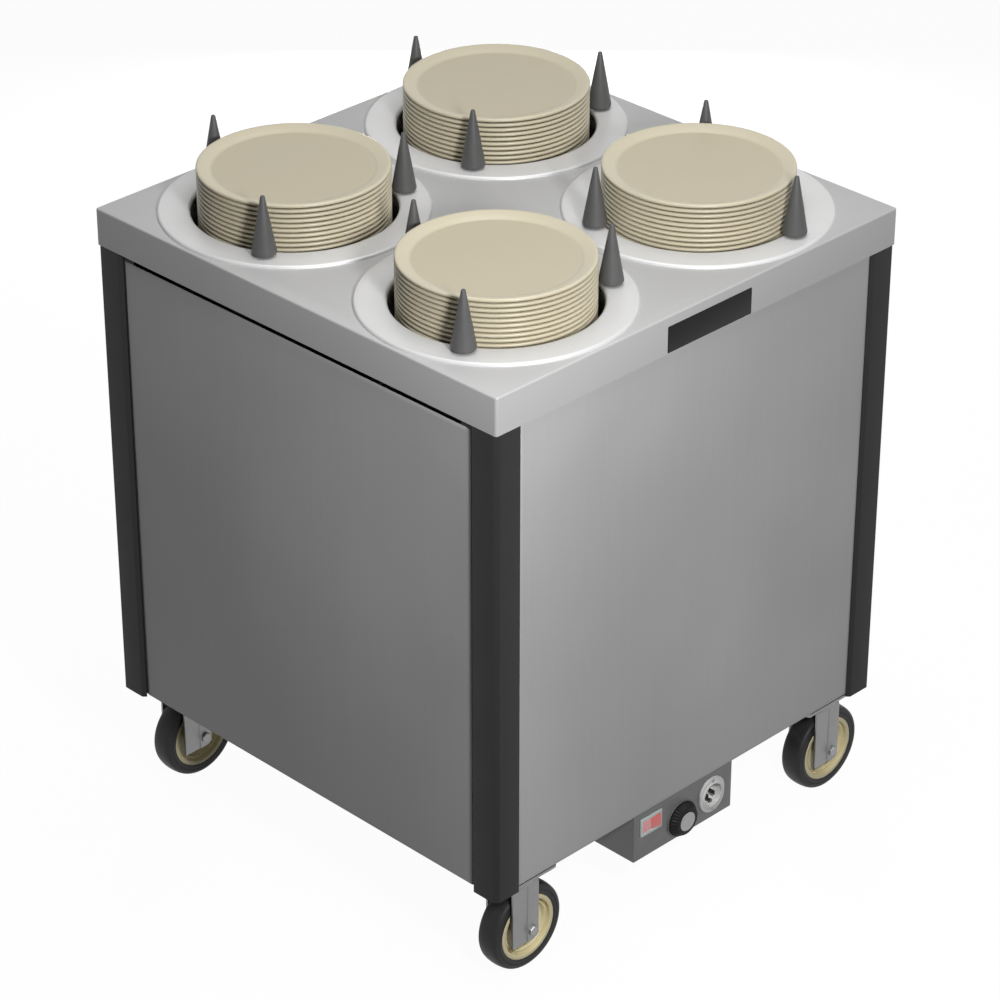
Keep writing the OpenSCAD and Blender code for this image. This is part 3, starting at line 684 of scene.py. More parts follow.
def cut_away(piece, tools, operation="DIFFERENCE"):
    """Cuts the tools out of the piece, unless another operation is named, and removes them."""
    for tool in tools:
        run_modifier(piece, "BOOLEAN", object=tool, operation=operation, solver="EXACT")
        bpy.data.objects.remove(tool)


def soften(piece, width, segments, angle):
    """Breaks every edge of the piece that is sharper than the angle."""
    run_modifier(
        piece, "BEVEL", width=width, segments=segments, limit_method="ANGLE",
        angle_limit=math.radians(angle), use_clamp_overlap=True, harden_normals=False,
    )


def copy_of(piece, name, move=(0, 0, 0), turn=0.0, about=(0, 0, 0)):
    """A copy with its own mesh, turned about an upright axis and then moved."""
    work_on(piece)
    bpy.ops.object.duplicate()
    twin = bpy.context.object
    twin.name = name
    if turn:
        bpy.ops.object.mode_set(mode="EDIT")
        select_everything()
        bpy.ops.transform.rotate(value=-turn, orient_axis="Z", center_override=Vector(about))
        done()
    twin.location = Vector(move)
    apply_place()
    return twin


def joined(name, parts):
    """The parts as one piece."""
    work_on(parts[0])
    for part in parts[1:]:
        part.select_set(True)
    bpy.ops.object.join()
    parts[0].name = name
    return parts[0]


# %% [markdown]
# A finished piece rides on the body that carries it, gets its finish, and says which CAD node
# it stands for. Smoothing by angle keeps its creases and rounds the rest.

# %% Seat a piece on its body
def dress(piece, finish, node, crease):
    """Finishes the piece and lets it stand for its node."""
    work_on(piece)
    bpy.ops.object.shade_smooth_by_angle(angle=math.radians(crease))
    piece.data.materials.clear()
    piece.data.materials.append(finish)
    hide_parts(node)
    print(piece.name, "for", node, "with", len(piece.data.polygons), "faces")


def seat(piece, finish, body, node, crease=34):
    """Lets the piece ride on its body and dresses it."""
    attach(piece, body)
    dress(piece, finish, node, crease)


# %% [markdown]
# The deck is one folded sheet: a flat top, a skirt folded down on four sides and welded at the
# corners, and four round cut-outs. A block is beveled for the folds, and a smaller block and
# four drums are cut out of it, which leaves the sheet's real thickness.

# %% Deck
DECK_SHEET = 2 * MM
DECK_FOLD = 2.4 * MM
DECK_CORNER = 4 * MM
CUTOUT = 159 * MM


def folded_deck():
    low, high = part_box("top_deck")
    sheet = block("deck_sheet", low, high)
    edit(sheet)
    round_along(Z_AXIS, DECK_CORNER, 4)
    round_rim(Z_AXIS, high.z, DECK_FOLD, 4)
    done()
    wall = Vector((DECK_SHEET, DECK_SHEET, 0))
    roof = Vector((0, 0, DECK_SHEET))
    inside = block("inside", low + wall - Vector((0, 0, MM)), high - wall - roof)
    edit(inside)
    round_along(Z_AXIS, DECK_CORNER - DECK_SHEET / 2, 3)
    drums = []
    for corner in CORNERS:
        well = middle(corner + "_flange_ring")
        drums.append(drum("cutout", (well.x, well.y, high.z), CUTOUT, 4 * DECK_SHEET))
    cut_away(sheet, [inside, *drums])
    seat(sheet, deck_steel, "cabinet", "top_deck")


folded_deck()

# %% [markdown]
# Each well's flange ring is spun from thin sheet: a rounded outer edge that stands on the deck,
# a flat face, and a lip that rolls down into the well. Its outline is a closed loop, so the spin
# gives a real wall with an underside.

# %% Flange rings
RING_SHEET = 2 * MM
RING_EDGE = 4 * MM
LIP_ROLL = 5 * MM
MOUTH = 135.5 * MM


def ring_outline(corner):
    """The ring's section, from the outer edge over the face and down the lip, and back under."""
    low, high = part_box(corner + "_flange_ring")
    rise = high.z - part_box("top_deck")[1].z
    drop = high.z - low.z
    outer = radius(corner + "_flange_ring")
    edge = (outer - RING_EDGE, rise - RING_EDGE)
    roll = (MOUTH + LIP_ROLL, rise - LIP_ROLL)
    lip = rise - drop
    top = arc(edge, RING_EDGE, 0, 90, 6) + arc(roll, LIP_ROLL, 90, 180, 8)
    under = arc(roll, LIP_ROLL - RING_SHEET, 180, 90, 6)
    under += arc(edge, RING_EDGE - RING_SHEET, 90, 0, 4)
    turn_in = [(MOUTH, lip + 0.6 * MM), (MOUTH + 0.6 * MM, lip), (MOUTH + RING_SHEET, lip)]
    return top + turn_in + under + [top[0]]


def flange_ring(corner):
    well = middle(corner + "_flange_ring")
    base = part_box("top_deck")[1].z
    ring = turned(corner + "_spun_ring", ring_outline(corner), (well.x, well.y, base), steps=FINE_STEPS)
    seat(ring, ring_steel, "cabinet", corner + "_flange_ring", crease=50)


for corner in CORNERS:
    flange_ring(corner)

# %% [markdown]
# A plate is turned as a potter would throw it: a flat well, a rounded step, a rim that rises to
# a rolled edge, and a foot ring under it. One plate is modelled and copied up the stack at the
# pitch that the frame's stack gives, since each plate's foot stands in the well below it.

# %% Plates
PLATE_COUNT = 13
PLATE_PITCH = 6.8 * MM
PLATE_DISH = 6.2 * MM
PLATE_WALL = 4 * MM
PLATE_EDGE = 2.5 * MM
FOOT_RADIUS = 75 * MM
FOOT_WIDTH = 6 * MM
FOOT_DROP = 2.7 * MM
FOOT_ROUND = 1.2 * MM
RIM_FALL = 0.35 * MM


def plate_outline(size):
    """Half of a plate's section, from the middle of its well to the middle of its underside."""
    belly = -PLATE_DISH - PLATE_WALL
    sole = belly - FOOT_DROP
    inner = FOOT_RADIUS - FOOT_WIDTH
    step = arc((PLATE_FLAT - 2 * MM, -PLATE_DISH + 6 * MM), 6 * MM, -90, -68, 3)
    shoulder = [(size - 4.5 * MM, -RIM_FALL)]
    top = [(0, -PLATE_DISH), (PLATE_FLAT * 0.6, -PLATE_DISH)] + step + shoulder
    edge = arc((size - PLATE_EDGE, -PLATE_EDGE), PLATE_EDGE, 70, -90, 7)
    haunch = [(PLATE_FLAT + 1.5 * MM, belly + 1.4 * MM), (PLATE_FLAT - 1.5 * MM, belly)]
    hip = [(FOOT_RADIUS + 1.5 * MM, belly)]
    foot = arc((FOOT_RADIUS - FOOT_ROUND, sole + FOOT_ROUND), FOOT_ROUND, 0, -90, 3)
    heel = [(inner + FOOT_ROUND, sole), (inner, sole + FOOT_ROUND), (inner - MM, belly)]
    return top + edge + haunch + hip + foot + heel + [(0, belly)]


def plate_stack(corner):
    node = corner + "_plate_stack"
    well = middle(node)
    top = (well.x, well.y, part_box(node)[1].z)
    first = turned("plate", plate_outline(radius(node)), top)
    plates = [first]
    for level in range(1, PLATE_COUNT):
        plates.append(copy_of(first, "plate", move=(0, 0, -level * PLATE_PITCH)))
    stack = joined(corner + "_plates", plates)
    seat(stack, plate_glaze, corner + "_carrier", node, crease=50)


for corner in CORNERS:
    plate_stack(corner)

# %% [markdown]
# Three cones stand round each well and keep the stack upright. They are moulded with a rounded
# base on a small foot, a straight taper and a flat tip with a dimple where the mould's gate was.
# A stud under each one goes down through the ring and the deck. The frame's own box gives the
# height, and the three places follow from where the frame's cones stand.

# %% Plate guides
GUIDE_BASE = 16.4 * MM
GUIDE_TIP = 2.9 * MM
GUIDE_CIRCLE = 148 * MM
GUIDE_STUD = 4 * MM
GUIDE_TURNS = {"front_left": 89.5, "front_right": 39.0, "rear_left": 92.5, "rear_right": 93.0}


def guide_outline(height, stud):
    """From the tip's dimple down the taper, round the base and down the stud."""
    dimple = [(0, height - 1.6 * MM), (1.1 * MM, height - 1.4 * MM), (1.4 * MM, height - 0.3 * MM)]
    tip = arc((GUIDE_TIP - MM, height - MM), MM, 90, 10, 4)
    base = arc((GUIDE_BASE - 4 * MM, 5.4 * MM), 4 * MM, 8, -90, 6)
    foot = [(7.5 * MM, 1.4 * MM), (7.5 * MM, 0), (GUIDE_STUD, 0)]
    return dimple + tip + base + foot + [(GUIDE_STUD, -stud), (0, -stud)]


def plate_guides(corner):
    node = corner + "_plate_guides"
    low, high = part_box(node)
    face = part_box(corner + "_flange_ring")[1].z
    well = middle(corner + "_flange_ring")
    axis = Vector((well.x, well.y, face))
    start = math.radians(GUIDE_TURNS[corner])
    place = axis + GUIDE_CIRCLE * Vector((math.cos(start), math.sin(start), 0))
    cones = [turned("cone", guide_outline(high.z - face, face - low.z), place, steps=48)]
    for third in (1, 2):
        cones.append(copy_of(cones[0], "cone", turn=third * FULL_TURN / 3, about=axis))
    seat(joined(corner + "_cones", cones), guide_plastic, "cabinet", node)


for corner in CORNERS:
    plate_guides(corner)

# %% [markdown]
# The side panels are thin sheet. Their edges are rolled back over a few millimetres, which
# catches a bright line along each one. A block's outer face is pushed in and inset, and the
# inset is pulled out again and its rim rounded. The photograph shows a black line under the
# deck's left edge, so the two side sheets stop a little lower than the front and the rear.

# %% Side panels
PANEL_ROLL = 3.2 * MM
ROLL_ROUND = 0.7 * PANEL_ROLL
ROLL_DEPTH_SHARE = 0.8
TOP_SHADOW = 2 * MM
PANELS = {
    "front_panel": Vector((0, -1, 0)),
    "rear_panel": Vector((0, 1, 0)),
    "left_panel": Vector((-1, 0, 0)),
    "right_panel": Vector((1, 0, 0)),
}


def side_panel(node, outward):
    low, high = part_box(node)
    if outward.x:
        high.z -= TOP_SHADOW
    sheet = block(node.replace("_panel", "_sheet"), low, high)
    roll = outward * abs((high - low).dot(outward)) * ROLL_DEPTH_SHARE
    edit(sheet)
    choose("faces", lambda place, way: way.dot(outward) > 0.9)
    bpy.ops.transform.translate(value=-roll)
    bpy.ops.mesh.inset(thickness=PANEL_ROLL, depth=0)
    bpy.ops.transform.translate(value=roll)
    axis = Y_AXIS if outward.y else X_AXIS
    face = max(low[axis], high[axis], key=lambda level: level * outward[axis])
    round_rim(axis, face, ROLL_ROUND, 4)
    done()
    seat(sheet, side_steel, "cabinet", node, crease=50)


for node, outward in PANELS.items():
    side_panel(node, outward)

# %% [markdown]
# The corner bumpers are vinyl extrusions. Seen from above, each is an angle with a chamfered
# corner whose two legs end in a slope down to the panels. The outline is traced once for each
# corner, filled, and pulled up along the cart's height, and its upright edges are rounded.

# %% Corner bumpers
BUMPER_LEG = 45.5 * MM
BUMPER_WALL = 5.8 * MM
BUMPER_SLOPE = 4.3 * MM
BUMPER_CHAMFER = 6 * MM


def bumper(corner, low, high):
    """One corner's extrusion, with its legs along the two sides."""
    across = 1 if "left" in corner else -1
    along = 1 if "front" in corner else -1
    edge_x = low.x if across > 0 else high.x
    edge_y = low.y if along > 0 else high.y
    leg = [(BUMPER_CHAMFER, 0), (BUMPER_LEG - BUMPER_SLOPE, 0)]
    leg += [(BUMPER_LEG, BUMPER_SLOPE), (BUMPER_LEG, BUMPER_WALL)]
    outline = leg + [(BUMPER_WALL, BUMPER_WALL)] + [(b, a) for a, b in reversed(leg)]
    points = [(edge_x + across * a, edge_y + along * b, low.z) for a, b in outline]
    piece = pulled(corner + "_extrusion", points, (0, 0, high.z - low.z))
    round_along(Z_AXIS, 0.9 * MM, 3)
    done()
    return piece


extrusions = [bumper(corner, *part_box("corner_bumpers")) for corner in CORNERS]
seat(joined("corner_extrusions", extrusions), bumper_vinyl, "cabinet", "corner_bumpers")

# %% [markdown]
# A caster's fork is one pressed strip bent into a U over the wheel. Each leg has a shallow
# hollow pressed into its leading part, which ends in a crease beside the axle. The strip's
# section is traced across the wheel and extruded along it station by station; at each station
# the section is drawn in a little to follow the hollow. A solidify modifier gives the metal its
# thickness. Then the strip is cut to the legs' outline: a nearly square corner at the back, a
# straight lower edge, and a round lobe about the axle that stands out past the leg's front edge.

# %% Caster forks
FORK_HALF = 25 * MM
FORK_SHEET = 3 * MM
FORK_BEND = 8 * MM
FORK_BACK = 18.5 * MM
FORK_BREADTH = 47.5 * MM
FORK_CREASE = 28.5 * MM
FORK_HOLLOW = 1.2 * MM
LEG_LOBE = 14.5 * MM
LEG_CORNER = 3 * MM
HEAD_RADIUS = 31 * MM
HEAD_RISE = 2.7 * MM
RACE_GAP = 0.3 * MM
PIN_RADIUS = 8 * MM
PIN_FLANGE = 12 * MM
PIN_HEAD = 2.1 * MM


def fork_section(pivot, crown, bottom):
    """The strip's middle line across the wheel, from one leg's end to the other's."""
    half = FORK_HALF - FORK_SHEET / 2
    bend = FORK_BEND - FORK_SHEET / 2
    top = crown - FORK_SHEET / 2
    right = arc((half - bend, top - bend), bend, 0, 90, 6)
    left = arc((bend - half, top - bend), bend, 90, 180, 6)
    section = [(half, bottom), *right, *left, (-half, bottom)]
    return [(pivot.x - FORK_BACK, pivot.y + y, z) for y, z in section]


def fork_strip(name, pivot, crown, bottom):
    strip = trace(name, fork_section(pivot, crown, bottom))
    stations = [FORK_CREASE * i / 6 for i in range(1, 7)] + [FORK_CREASE + 0.4 * MM, FORK_BREADTH]
    before, width = 0.0, 1.0
    select_everything()
    for station in stations:
        hollow = FORK_HOLLOW * (station / FORK_CREASE) ** 2 if station <= FORK_CREASE else 0
        wanted = 1 - hollow / FORK_HALF
        bpy.ops.mesh.extrude_region_move(TRANSFORM_OT_translate={"value": (station - before, 0, 0)})
        bpy.ops.transform.resize(value=(1, wanted / width, 1), center_override=pivot)
        before, width = station, wanted
    select_everything()
    bpy.ops.mesh.normals_make_consistent(inside=False)
    done()
    run_modifier(strip, "SOLIDIFY", thickness=FORK_SHEET, offset=0, use_even_offset=True)
    return strip


def leg_cutter(pivot, axle, top):
    """The legs' outline seen from the side, pulled across the fork."""
    back, front = pivot.x - FORK_BACK, pivot.x - FORK_BACK + FORK_BREADTH
    bottom = axle.z - LEG_LOBE
    turn = math.degrees(math.acos((front - axle.x) / LEG_LOBE))
    corner = arc((back + LEG_CORNER, bottom + LEG_CORNER), LEG_CORNER, 180, 270, 4)
    lobe = arc((axle.x, axle.z), LEG_LOBE, -90, turn, 14)
    outline = corner + lobe + [(front, top + MM), (back, top + MM)]
    reach = FORK_HALF + MM
    points = [(x, pivot.y - reach, z) for x, z in outline]
    cutter = pulled("leg_cutter", points, (0, 2 * reach, 0))
    done()
    return cutter


def head_outline(low, high):
    """A pressed cup that holds the swivel's lower race."""
    rise = high - low
    lip = arc((HEAD_RADIUS - 1.3 * MM, rise - 1.3 * MM), 1.3 * MM, 0, 90, 3)
    cup = [(0, 0), (HEAD_RADIUS - 4 * MM, 0), (HEAD_RADIUS, 0.9 * MM)]
    return cup + lip + [(PIN_RADIUS, rise), (0, rise)]


def pin_outline(height):
    """The kingpin, riveted over at its top."""
    pin = [(0, 0), (PIN_RADIUS, 0), (PIN_RADIUS, height - PIN_HEAD)]
    pin += [(PIN_FLANGE, height - PIN_HEAD), (PIN_FLANGE, height - 0.4 * MM)]
    return pin + [(PIN_FLANGE - 0.4 * MM, height), (0, height)]


def caster_fork(corner):
    node = corner + "_caster_fork"
    low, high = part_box(node)
    pivot = Vector((low.x + HEAD_RADIUS, (low.y + high.y) / 2, 0))
    head_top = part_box("caster_plates")[0].z - RACE_GAP
    crown = head_top - HEAD_RISE
    strip = fork_strip(corner + "_fork", pivot, crown, low.z - MM)
    axle = middle(corner + "_wheel_tyre")
    cut_away(strip, [leg_cutter(pivot, axle, head_top)], "INTERSECT")
    soften(strip, 0.35 * MM, 2, 50)
    foot = (pivot.x, pivot.y, crown)
    head = turned("head", head_outline(crown, head_top), foot, steps=64)
    kingpin = turned("kingpin", pin_outline(high.z - crown), foot, steps=40)
    fork = joined(corner + "_fork", [strip, head, kingpin])
    seat(fork, fork_zinc, corner + "_swivel", node)


for corner in CORNERS:
    caster_fork(corner)

# %% [markdown]
# The wheel is a moulded hub with a tyre bonded round it. The hub's side shows, from outside in,
# a broad rim, a dark groove, and a dish with a boss at the axle. The tyre has a crowned tread,
# round shoulders and a fine bead line on each side wall. Both are turned about the axle.

# %% Wheels
HUB_SEAT = 47.7 * MM
BOSS_BORE = 6.55 * MM


def both_sides(outline):
    """An outline for one side of a wheel, carried on to the other side."""
    return outline + [(away, -across) for away, across in reversed(outline)]


def hub_outline():
    edge = HUB_SEAT - 0.05 * MM
    rim = arc((edge - 1.5 * MM, 15 * MM), 1.5 * MM, 0, 90, 4)
    inner = arc((edge - 5.2 * MM, 15 * MM), 1.5 * MM, 90, 180, 4)
    groove = millimetres([(7, 9.2), (8.2, 8.4), (9.4, 9.4)], edge)
    step = arc((edge - 11.2 * MM, 11 * MM), 1.4 * MM, 20, 150, 4)
    dish = millimetres([(14, 7), (17, 5.2)], edge) + millimetres([(18, 5), (15, 6.5)])
    boss = millimetres([(14, 19.2), (13.2, 20)])
    bore = [(BOSS_BORE + 0.5 * MM, 20 * MM), (BOSS_BORE, 19.5 * MM)]
    return both_sides(rim + inner + groove + step + dish + boss + bore)


def tyre_outline(size):
    crown = arc((size - 60 * MM, 0), 60 * MM, 0, 9, 4)
    shoulder = arc((size - 7.4 * MM, 10.6 * MM), 6.2 * MM, 12, 88, 7)
    wall = millimetres([(9, 16.9), (9.3, 16.3), (9.8, 16.3), (10.1, 16.9)], size)
    bead = [(HUB_SEAT + 2.6 * MM, 17 * MM), (HUB_SEAT, 16.2 * MM)]
    one_side = crown + shoulder + wall + bead
    other_side = [(away, -across) for away, across in reversed(one_side[1:])]
    return other_side + one_side + [other_side[0]]


def wheel(corner):
    hub_node, tyre_node = corner + "_wheel_hub", corner + "_wheel_tyre"
    axle = middle(tyre_node)
    hub = turned(corner + "_hub", hub_outline() + [hub_outline()[0]], axle, axis="Y")
    seat(hub, hub_plastic, corner + "_wheel", hub_node, crease=40)
    tyre = turned(corner + "_tyre", tyre_outline(radius(tyre_node)), axle, axis="Y", steps=FINE_STEPS)
    seat(tyre, tyre_finish, corner + "_wheel", tyre_node, crease=40)


for corner in CORNERS:
    wheel(corner)

# %% [markdown]
# A hexagon bolt is the wheel's axle, and a sleeve on it fills the hub's bore. The head and the
# nut are cylinders with six sides. The outer face of each is inset and its corners are pulled
# back, which gives the chamfer of a real head.

# %% Axle bolts
AXLE_RADIUS = 4 * MM
AXLE_HEAD = 13 * MM
HEAD_DEPTH = 3.5 * MM
HEAD_CHAMFER = 0.8 * MM
SPACER_RADIUS = 6.5 * MM


def hex_head(name, place, flats, depth, outward):
    """A hexagon along Y with its outer corners chamfered."""
    head = drum(name, place, flats / math.sqrt(3), depth, 6, "Y")
    end = place + Vector((0, outward * depth / 2, 0))
    edit(head)
    choose("faces", lambda spot, way: near(spot.y, end.y) and abs(way.y) > 0.9)
    bpy.ops.mesh.inset(thickness=0.5 * MM, depth=0)
    bpy.ops.transform.resize(value=(0.97, 1, 0.97), center_override=end)
    choose("verts", lambda spot, way: near(spot.y, end.y) and (spot - end).length > flats * 0.55)
    bpy.ops.transform.translate(value=(0, -outward * HEAD_CHAMFER, 0))
    done()
    return head


def axle_bolt(corner):
    node = corner + "_caster_axle"
    low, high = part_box(node)
    axle = middle(corner + "_wheel_tyre")
    side = Vector((0, FORK_HALF + HEAD_DEPTH / 2, 0))
    head = hex_head("head", axle - side, AXLE_HEAD, HEAD_DEPTH, -1)
    nut = hex_head("nut", axle + side, AXLE_HEAD, HEAD_DEPTH, 1)
    inner = FORK_HALF - FORK_SHEET - 0.1 * MM
    start, end = low.y - axle.y + 0.5 * MM, high.y - axle.y
    shank = [(0, start), (AXLE_RADIUS, start), (AXLE_RADIUS, -inner), (SPACER_RADIUS, -inner)]
    shank += [(SPACER_RADIUS, inner), (AXLE_RADIUS, inner), (AXLE_RADIUS, end - 0.6 * MM)]
    shank += [(AXLE_RADIUS - 0.5 * MM, end), (0, end)]
    rod = turned("shank", shank, axle, axis="Y", steps=40)
    bolt = joined(corner + "_axle_bolt", [rod, head, nut])
    seat(bolt, bolt_zinc, corner + "_swivel", node)


for corner in CORNERS:
    axle_bolt(corner)

# %% [markdown]
# The nameplate is a bare dark plate on the front skirt, with its corners and edges just broken.
# The box under the front edge is folded sheet: its side is traced, pulled across the cart and
# hollowed, and the openings for the rocker, the knob's bushing and the inlet are cut in its face.

# %% Nameplate and control box
BOX_SHEET = 1.5 * MM
BOX_FRONT_TOP = 164 * MM
FRAME_LEG = 40 * MM
ROCKER_POCKET = Vector((17.62 * MM, 0, 9.85 * MM))
HOUSING_WALL = Vector((0.9 * MM, 0, 1.85 * MM))
WINDOW_MARGIN = Vector((0.2 * MM, 10 * MM, 0.2 * MM))
BUSHING_RADIUS = 5 * MM
INLET_BODY = 19 * MM


def skirt_plate():
    low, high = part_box("nameplate")
    plate = block("skirt_plate", low, high)
    edit(plate)
    round_along(Y_AXIS, 0.8 * MM, 3)
    round_rim(Y_AXIS, low.y, 0.35 * MM, 2)
    done()
    seat(plate, nameplate_paint, "cabinet", "nameplate")


def folded_box():
    low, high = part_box("control_box")
    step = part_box("base_frame")[0].y + FRAME_LEG
    side = [(low.y, low.z), (high.y, low.z), (high.y, high.z)]
    side += [(step, high.z), (step, BOX_FRONT_TOP), (low.y, BOX_FRONT_TOP)]
    shell = pulled("folded_box", [(low.x, y, z) for y, z in side], (high.x - low.x, 0, 0))
    done()
    wall = Vector((BOX_SHEET, BOX_SHEET, BOX_SHEET))
    open_top = Vector((-BOX_SHEET, -BOX_SHEET, BOX_SHEET))
    inside = block("inside", low + wall, high + open_top)
    half = ROCKER_POCKET + HOUSING_WALL + WINDOW_MARGIN
    rocker = Vector((middle("rocker_bezel").x, low.y, middle("rocker_bezel").z))
    window = block("window", rocker - half, rocker + half)
    knob, inlet = middle("thermostat_knob"), middle("power_inlet")
    hole = drum("hole", (knob.x, low.y, knob.z), BUSHING_RADIUS, 20 * MM, 32, "Y")
    mouth = drum("mouth", (inlet.x, low.y, inlet.z), INLET_BODY + 0.05 * MM, 20 * MM, 64, "Y")
    cut_away(shell, [inside, window, hole, mouth])
    soften(shell, 0.5 * MM, 2, 60)
    seat(shell, control_paint, "cabinet", "control_box", crease=50)


skirt_plate()
folded_box()

# %% [markdown]
# The rocker stands in a pale frame. Seen from above it is a shallow V with a narrower back, and
# it rests tilted, with its left end pressed in.

# %% Rocker and its frame
ROCKER_TILT = math.radians(-6)
ROCKER_SLOPE = math.radians(9)
ROCKER_HALF = 16.5 * MM
ROCKER_TALL = 19 * MM
ROCKER_MID = 2.5 * MM
ROCKER_BACK = (8 * MM, 4 * MM)
PIVOT_IN = 2 * MM
PIVOT_PIN = 1.5 * MM


def rocker_frame():
    low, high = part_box("rocker_bezel")
    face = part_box("control_box")[0].y
    centre = middle("rocker_bezel")
    rim = block("bezel_frame", low, (high.x, face, high.z))
    edit(rim)
    round_along(Y_AXIS, 1.2 * MM, 3)
    round_rim(Y_AXIS, low.y, 0.7 * MM, 3)
    done()
    half = ROCKER_POCKET + HOUSING_WALL
    body_low = (centre.x - half.x, face - 0.5 * MM, centre.z - half.z)
    body = block("housing", body_low, (centre.x + half.x, high.y, centre.z + half.z))
    pocket_low = (centre.x - ROCKER_POCKET.x, low.y - MM, centre.z - ROCKER_POCKET.z)
    pocket_high = (centre.x + ROCKER_POCKET.x, face + 10 * MM, centre.z + ROCKER_POCKET.z)
    cut_away(rim, [body], "UNION")
    cut_away(rim, [block("pocket", pocket_low, pocket_high)])
    seat(rim, bezel_plastic, "cabinet", "rocker_bezel")


def rocker_lens():
    low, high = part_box("rocker_switch")
    pivot = Vector((middle("rocker_bezel").x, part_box("control_box")[0].y + PIVOT_IN, 0))
    end = ROCKER_MID + ROCKER_HALF * math.tan(ROCKER_SLOPE)
    right = [(ROCKER_HALF, -end), (ROCKER_HALF, 0), ROCKER_BACK]
    shape = [(0, -ROCKER_MID), *right, *[(-x, y) for x, y in reversed(right)]]
    base = middle("rocker_bezel").z - ROCKER_TALL / 2
    points = [(pivot.x + x, pivot.y + y, base) for x, y in shape]
    lens = pulled("rocker_lens", points, (0, 0, ROCKER_TALL))
    choose("edges", lambda place, way: near(place.y, pivot.y - end, 3 * MM) and place.y < pivot.y - MM)
    bevel(0.5 * MM, 2)
    select_everything()
    bpy.ops.transform.rotate(value=-ROCKER_TILT, orient_axis="Z", center_override=pivot)
    done()
    pin_middle = (pivot.x, pivot.y, (low.z + high.z) / 2)
    pin = drum("pin", pin_middle, PIVOT_PIN, high.z - low.z, 24)
    seat(joined("rocker_lens", [lens, pin]), rocker_red, "rocker", "rocker_switch")


rocker_frame()
rocker_lens()

# %% [markdown]
# The knob is three pieces on one body: a thin grey dial, a black fluted cone, and a silver cap.
# The flutes are made on the turned cone by drawing every third column of its vertices in.

# %% Thermostat knob
DIAL_RADIUS = 28 * MM
DIAL_SHEET = 1.5 * MM
GRIP_RADIUS = 26 * MM
GRIP_NECK = 20 * MM
GRIP_SHOULDER = 4 * MM
CAP_RADIUS = 14 * MM
CAP_STEP = 0.8 * MM
GRIP_COLUMNS = 90
FLUTE_SHARE = 0.955


def knob_dial(centre):
    outline = [(0, -0.3 * MM), (DIAL_RADIUS - 0.2 * MM, -0.3 * MM), (DIAL_RADIUS, -0.5 * MM)]
    outline += [(DIAL_RADIUS, 0.4 * MM - DIAL_SHEET), (DIAL_RADIUS - 0.4 * MM, -DIAL_SHEET)]
    dial = turned("knob_dial", outline + [(0, -DIAL_SHEET)], centre, axis="Y")
    seat(dial, dial_plastic, "knob", "thermostat_knob")


def knob_grip(centre, proud):
    front = proud - CAP_STEP
    side = [(GRIP_RADIUS, -DIAL_SHEET), (GRIP_RADIUS, 0.5 * MM - GRIP_SHOULDER)]
    side += [(GRIP_RADIUS - 0.5 * MM, -GRIP_SHOULDER - 0.3 * MM), (GRIP_NECK + MM, 0.9 * MM - front)]
    side += [(GRIP_NECK, 0.2 * MM - front), (GRIP_NECK - 0.8 * MM, -front), (0, -front)]
    grip = turned("knob_grip", side, centre, axis="Y", steps=GRIP_COLUMNS)
    edit(grip)

    def fluted(place, way):
        out = place - centre
        column = (math.atan2(out.z, out.x) / FULL_TURN + 1) * GRIP_COLUMNS
        return math.hypot(out.x, out.z) > GRIP_NECK - 0.5 * MM and round(column) % 3 == 0

    choose("verts", fluted)
    bpy.ops.transform.resize(value=(FLUTE_SHARE, 1, FLUTE_SHARE), center_override=centre)
    done()
    seat(grip, knob_plastic, "knob", "thermostat_knob", crease=30)


def knob_cap(centre, proud):
    outline = [(CAP_RADIUS, 0.3 * MM + CAP_STEP - proud), (CAP_RADIUS, 0.25 * MM - proud)]
    outline += [(CAP_RADIUS - 0.25 * MM, -proud), (CAP_RADIUS - 1.2 * MM, -proud)]
    outline += [(CAP_RADIUS - 1.5 * MM, 0.2 * MM - proud), (0, 0.15 * MM - proud)]
    cap = turned("knob_cap", outline, centre, axis="Y")
    seat(cap, cap_silver, "knob", "thermostat_knob")


knob_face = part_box("control_box")[0].y
knob_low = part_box("thermostat_knob")[0]
knob_centre = Vector((middle("thermostat_knob").x, knob_face, middle("thermostat_knob").z))
knob_dial(knob_centre)
knob_grip(knob_centre, knob_face - knob_low.y)
knob_cap(knob_centre, knob_face - knob_low.y)

# %% [markdown]
# The inlet has an oval flange with a raised collar round its recess, two screws, and three
# contacts that stand on the recess's floor: two flat blades and a round earth pin.

# %% Power inlet
FLANGE_SIDE = 23.3 * MM
FLANGE_STEP = MM
RECESS = 17 * MM
RECESS_DEEP = 18 * MM
BLADE = Vector((0.8 * MM, 0, 3.2 * MM))
BLADE_OUT = 6.35 * MM
BLADE_LONG = 15 * MM
EARTH_RADIUS = 2.4 * MM
EARTH_DOWN = 11 * MM
SCREW_OUT = 23 * MM


